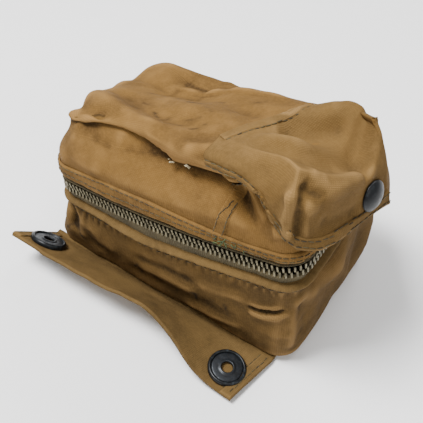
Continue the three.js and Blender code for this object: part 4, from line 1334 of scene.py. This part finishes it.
# ---------- sewing ----------
def zip_row(offset, x0=-60, x1=70):
    """A line along the front at an offset(x) from the chain, between two x values."""
    a = -0.25 if x0 < -54 else side_at(0, 0, x0, 55)
    b = 1.35 if x1 > 66 else side_at(0, 0, x1, 55)
    s = np.linspace(a, b, 220)
    z0 = chain_height(s)
    z = z0 + offset(wall(s, z0)[:, 0])
    return wall(s, z) + wall_normal(s, z) * 1.2


class POUCH_OT_sewing(bpy.types.Operator):
    """Sews the stitch rows, the bartack and the loose threads"""
    bl_idname = "pouch.sewing"
    bl_label = "Stitching"

    def execute(self, context):
        sizes = context.scene.pouch_sizes
        pitch = sizes.stitch_pitch
        stitch = stitch_template("stitch template", sizes.stitch_length, sizes.thread_radius)

        def facing_low(x):
            return np.interp(x, [-54, -25, 0, 28, 44, 66], [8.6, 9.2, 9.6, 8.6, 6.6, 6.6])

        u, v, w = np.linspace(0, 1, 120), np.linspace(0.04, 0.3, 30), np.linspace(1, 25, 60)
        hem = []
        for up in (1.3, 3.7):
            hem += [HOOD_FRONT(u, np.full(120, up / FRONT_HIGH)),
                    HOOD_END(u, np.full(120, up / END_HIGH))]
        # each piece's name, body, spacing, lift and rows: the cloth under them, and their lines
        for name, body, gap, lift, rows in (
                ("upper_stitching", "upper_half", pitch, 0.1, (
                    (("upper_facing_strip", "upper_shell"),
                     [zip_row(lambda x: facing_high(x) - 1.2), zip_row(facing_low)]),
                    # the felled seam's twin rows, from the facing up under the hood
                    (("felled_seam_fold",),
                     [[(32 + dx, -42, 68.5), (33.5 + dx, -41.5, 80), (37 + dx, -38, 93)]
                      for dx in (-1.9, 1.9)]))),
                ("lower_stitching", "lower_half", pitch, 0.1, (
                    (("lower_shell", "lower_welt_roll"),
                     [zip_row(lambda x: welt_line(x) - 3.6, x0=-44)]),)),
                ("tape_stitching", "lower_half", pitch * 0.8, 0.1, (
                    (("lower_zip_tape_woven",), [zip_row(lambda x: -6.6)]),)),
                ("hood_stitching", "hood", pitch, 0.15, (
                    (("hood_hem_fold",), hem),
                    (("cross_seam_fold",), [CROSS_SEAM(u) + SEAM_ACROSS * k for k in (0.2, 3.0)]),
                    (("hood_shell",), [DART_EDGE(v) + np.array([-0.8, -0.3, 0])]))),
                ("flange_stitching", "flange", pitch, 0.15, (
                    (("flange_left_hem_fold", "flange_right_hem_fold"),
                     [flange_at(np.full(60, x), w)
                      for x in (FLANGE_LEFT + 1.3, FLANGE_LEFT + 3.6, FLANGE_RIGHT - 1.8,
                                FLANGE_RIGHT - 4.4)]),))):
            bm = bmesh.new()
            for cloth, lines in rows:
                tree = tree_of(*cloth)
                for line in lines:
                    sew(bm, stitch, tree, line, gap, lift)
            finish_mesh(bm, name, body, "thread")
        self.loose_threads(stitch)
        bpy.data.meshes.remove(stitch)
        for name in ("upper_shell", "lower_shell", "hood_shell", "back_hinge_cloth"):
            thicken(made[name], CLOTH, lined=True)
        return {"FINISHED"}

    def loose_threads(self, stitch):
        tree = tree_of("upper_facing_strip", "upper_shell")
        # green bartack where the felled seam meets the facing
        bm = bmesh.new()
        for _ in range(14):
            x = 36 + float(RNG.normal(0, 2.6))
            z = chain_z(x) + 7.5 + float(RNG.normal(0, 1.3))
            hit, normal, _, _ = tree.find_nearest(Vector((x, -43, z)) * MM)
            stamp(bm, stitch, frame_of(hit + normal * 0.3 * MM, RNG.normal(0, 1, 3), normal))
        finish_mesh(bm, "bartack_threads", "upper_half", "green")
        # frayed ends of undyed thread under the lip
        bm = bmesh.new()
        for centre in ((5, -38, 84), (15, -38, 86)):
            for _ in range(7):
                q = Vector(centre) + Vector(RNG.normal(0, 0.45, 3))
                hit, normal, _, _ = tree.find_nearest(q * MM)
                root = hit + normal * (0.5 + 0.5 * float(RNG.random())) * MM
                way = Vector(RNG.normal(0, 1, 3))
                up = normal + Vector(RNG.normal(0, 0.4, 3))
                stamp(bm, stitch, frame_of(root, way, up))
        finish_mesh(bm, "frayed_threads", "upper_half", "pale")


class POUCH_OT_metal_finish(bpy.types.Operator):
    """Gives the metal pieces kept from the frame their finishes"""
    bl_idname = "pouch.metal_finish"
    bl_label = "Metal finishes"

    def execute(self, context):
        for finish, nodes in (
                ("zip", ("slider_body", "pull_tab", "lower_top_stop", "upper_top_stop",
                         "bottom_stop")),
                ("black", ("snap_socket", "mating_stud", "mating_stud_washer",
                           "left_socket_clinch_ring", "right_socket_clinch_ring"))):
            for name in nodes:
                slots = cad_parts[name].data.materials
                slots.clear()
                slots.append(materials[finish])
        return {"FINISHED"}


# ---------- studio ----------
PAPER_ROUGHNESS, ROOM_LIGHT = 0.9, 0.44
# each softbox: watts, side in metres, place and the point it faces
SOFTBOXES = {
    "key softbox": (17.0, 0.3, (-0.22, -0.2, 0.85), (0, 0, 0.05)),
    "fill softbox": (2.2, 0.5, (0.7, -0.3, 0.6), (0.02, 0, 0.05)),
    "back softbox": (5.0, 0.5, (0.1, 0.7, 0.7), (0, 0, 0.06)),
}
CAMERA_AT, CAMERA_RAISED, CAMERA_TURNED = (0.12594, -0.18494, 0.28605), 50, 34.08  # degrees
LENS, SENSOR = 63.8, 36


class POUCH_OT_studio(bpy.types.Operator):
    """Makes the floor, the soft lights and the camera"""
    bl_idname = "pouch.studio"
    bl_label = "Studio"

    def execute(self, context):
        self.floor(context.scene)
        self.lights(context.scene)
        self.camera(context.scene)
        return {"FINISHED"}

    def floor(self, scene):
        bm = bmesh.new()
        bmesh.ops.create_grid(bm, x_segments=2, y_segments=2, size=scene.pouch_sizes.floor_size / 2)
        mesh = bpy.data.meshes.new("studio_floor")
        bm.to_mesh(mesh)
        bm.free()
        floor = bpy.data.objects.new("studio_floor", mesh)
        scene.collection.objects.link(floor)
        material, tree, shader = begin("studio paper, matt")
        plug(tree, shader, {"Base Color": tuple(scene.pouch_colours.floor),
                            "Roughness": PAPER_ROUGHNESS})
        mesh.materials.append(material)

    def lights(self, scene):
        world = bpy.data.worlds.new("studio light")
        world.use_nodes = True
        plug(world.node_tree, world.node_tree.nodes["Background"],
             {"i0": (1.0, 1.0, 1.0, 1.0), "i1": ROOM_LIGHT})
        scene.world = world
        for name, (power, size, place, target) in SOFTBOXES.items():
            light = bpy.data.lights.new(name, "AREA")
            light.energy = power
            light.size = size
            lamp = bpy.data.objects.new(name, light)
            lamp.location = place
            way = Vector(target) - Vector(place)
            lamp.rotation_euler = way.to_track_quat("-Z", "Y").to_euler()
            scene.collection.objects.link(lamp)

    def camera(self, scene):
        data = bpy.data.cameras.new("camera")
        camera = bpy.data.objects.new("camera", data)
        scene.collection.objects.link(camera)
        up, round_ = math.radians(CAMERA_RAISED), math.radians(CAMERA_TURNED)
        back = Vector((math.sin(round_) * math.cos(up), -math.cos(round_) * math.cos(up),
                       math.sin(up)))
        right = Vector((math.cos(round_), math.sin(round_), 0))
        turn = Matrix((right, back.cross(right), back)).transposed().to_4x4()
        camera.matrix_world = Matrix.Translation(CAMERA_AT) @ turn
        data.lens = LENS
        data.sensor_width = SENSOR
        data.clip_start = 0.005
        scene.camera = camera


class POUCH_PT_panel(bpy.types.Panel):
    bl_label = "Canvas pouch"
    bl_idname = "POUCH_PT_panel"
    bl_space_type = "VIEW_3D"
    bl_region_type = "UI"
    bl_category = "Pouch"

    def draw(self, context):
        for group in (context.scene.pouch_sizes, context.scene.pouch_colours):
            for key in group.__annotations__:
                self.layout.prop(group, key)
        for operator in OPERATORS:
            self.layout.operator(operator.bl_idname)


OPERATORS = (POUCH_OT_studio, POUCH_OT_lower_half, POUCH_OT_upper_half, POUCH_OT_felled_seam,
             POUCH_OT_cloth_hinge, POUCH_OT_zip, POUCH_OT_hood, POUCH_OT_flange,
             POUCH_OT_press_studs, POUCH_OT_sewing, POUCH_OT_metal_finish)
CLASSES = (PouchSizes, PouchColours, *OPERATORS, POUCH_PT_panel)


def register():
    for item in CLASSES:
        bpy.utils.register_class(item)
    bpy.types.Scene.pouch_sizes = bpy.props.PointerProperty(type=PouchSizes)
    bpy.types.Scene.pouch_colours = bpy.props.PointerProperty(type=PouchColours)


def unregister():
    del bpy.types.Scene.pouch_sizes
    del bpy.types.Scene.pouch_colours
    for item in reversed(CLASSES):
        bpy.utils.unregister_class(item)


def main():
    register()
    materials.update(make_materials())
    for operator in OPERATORS:
        group, name = operator.bl_idname.split(".")
        getattr(getattr(bpy.ops, group), name)()


if __name__ == "__main__":
    main()
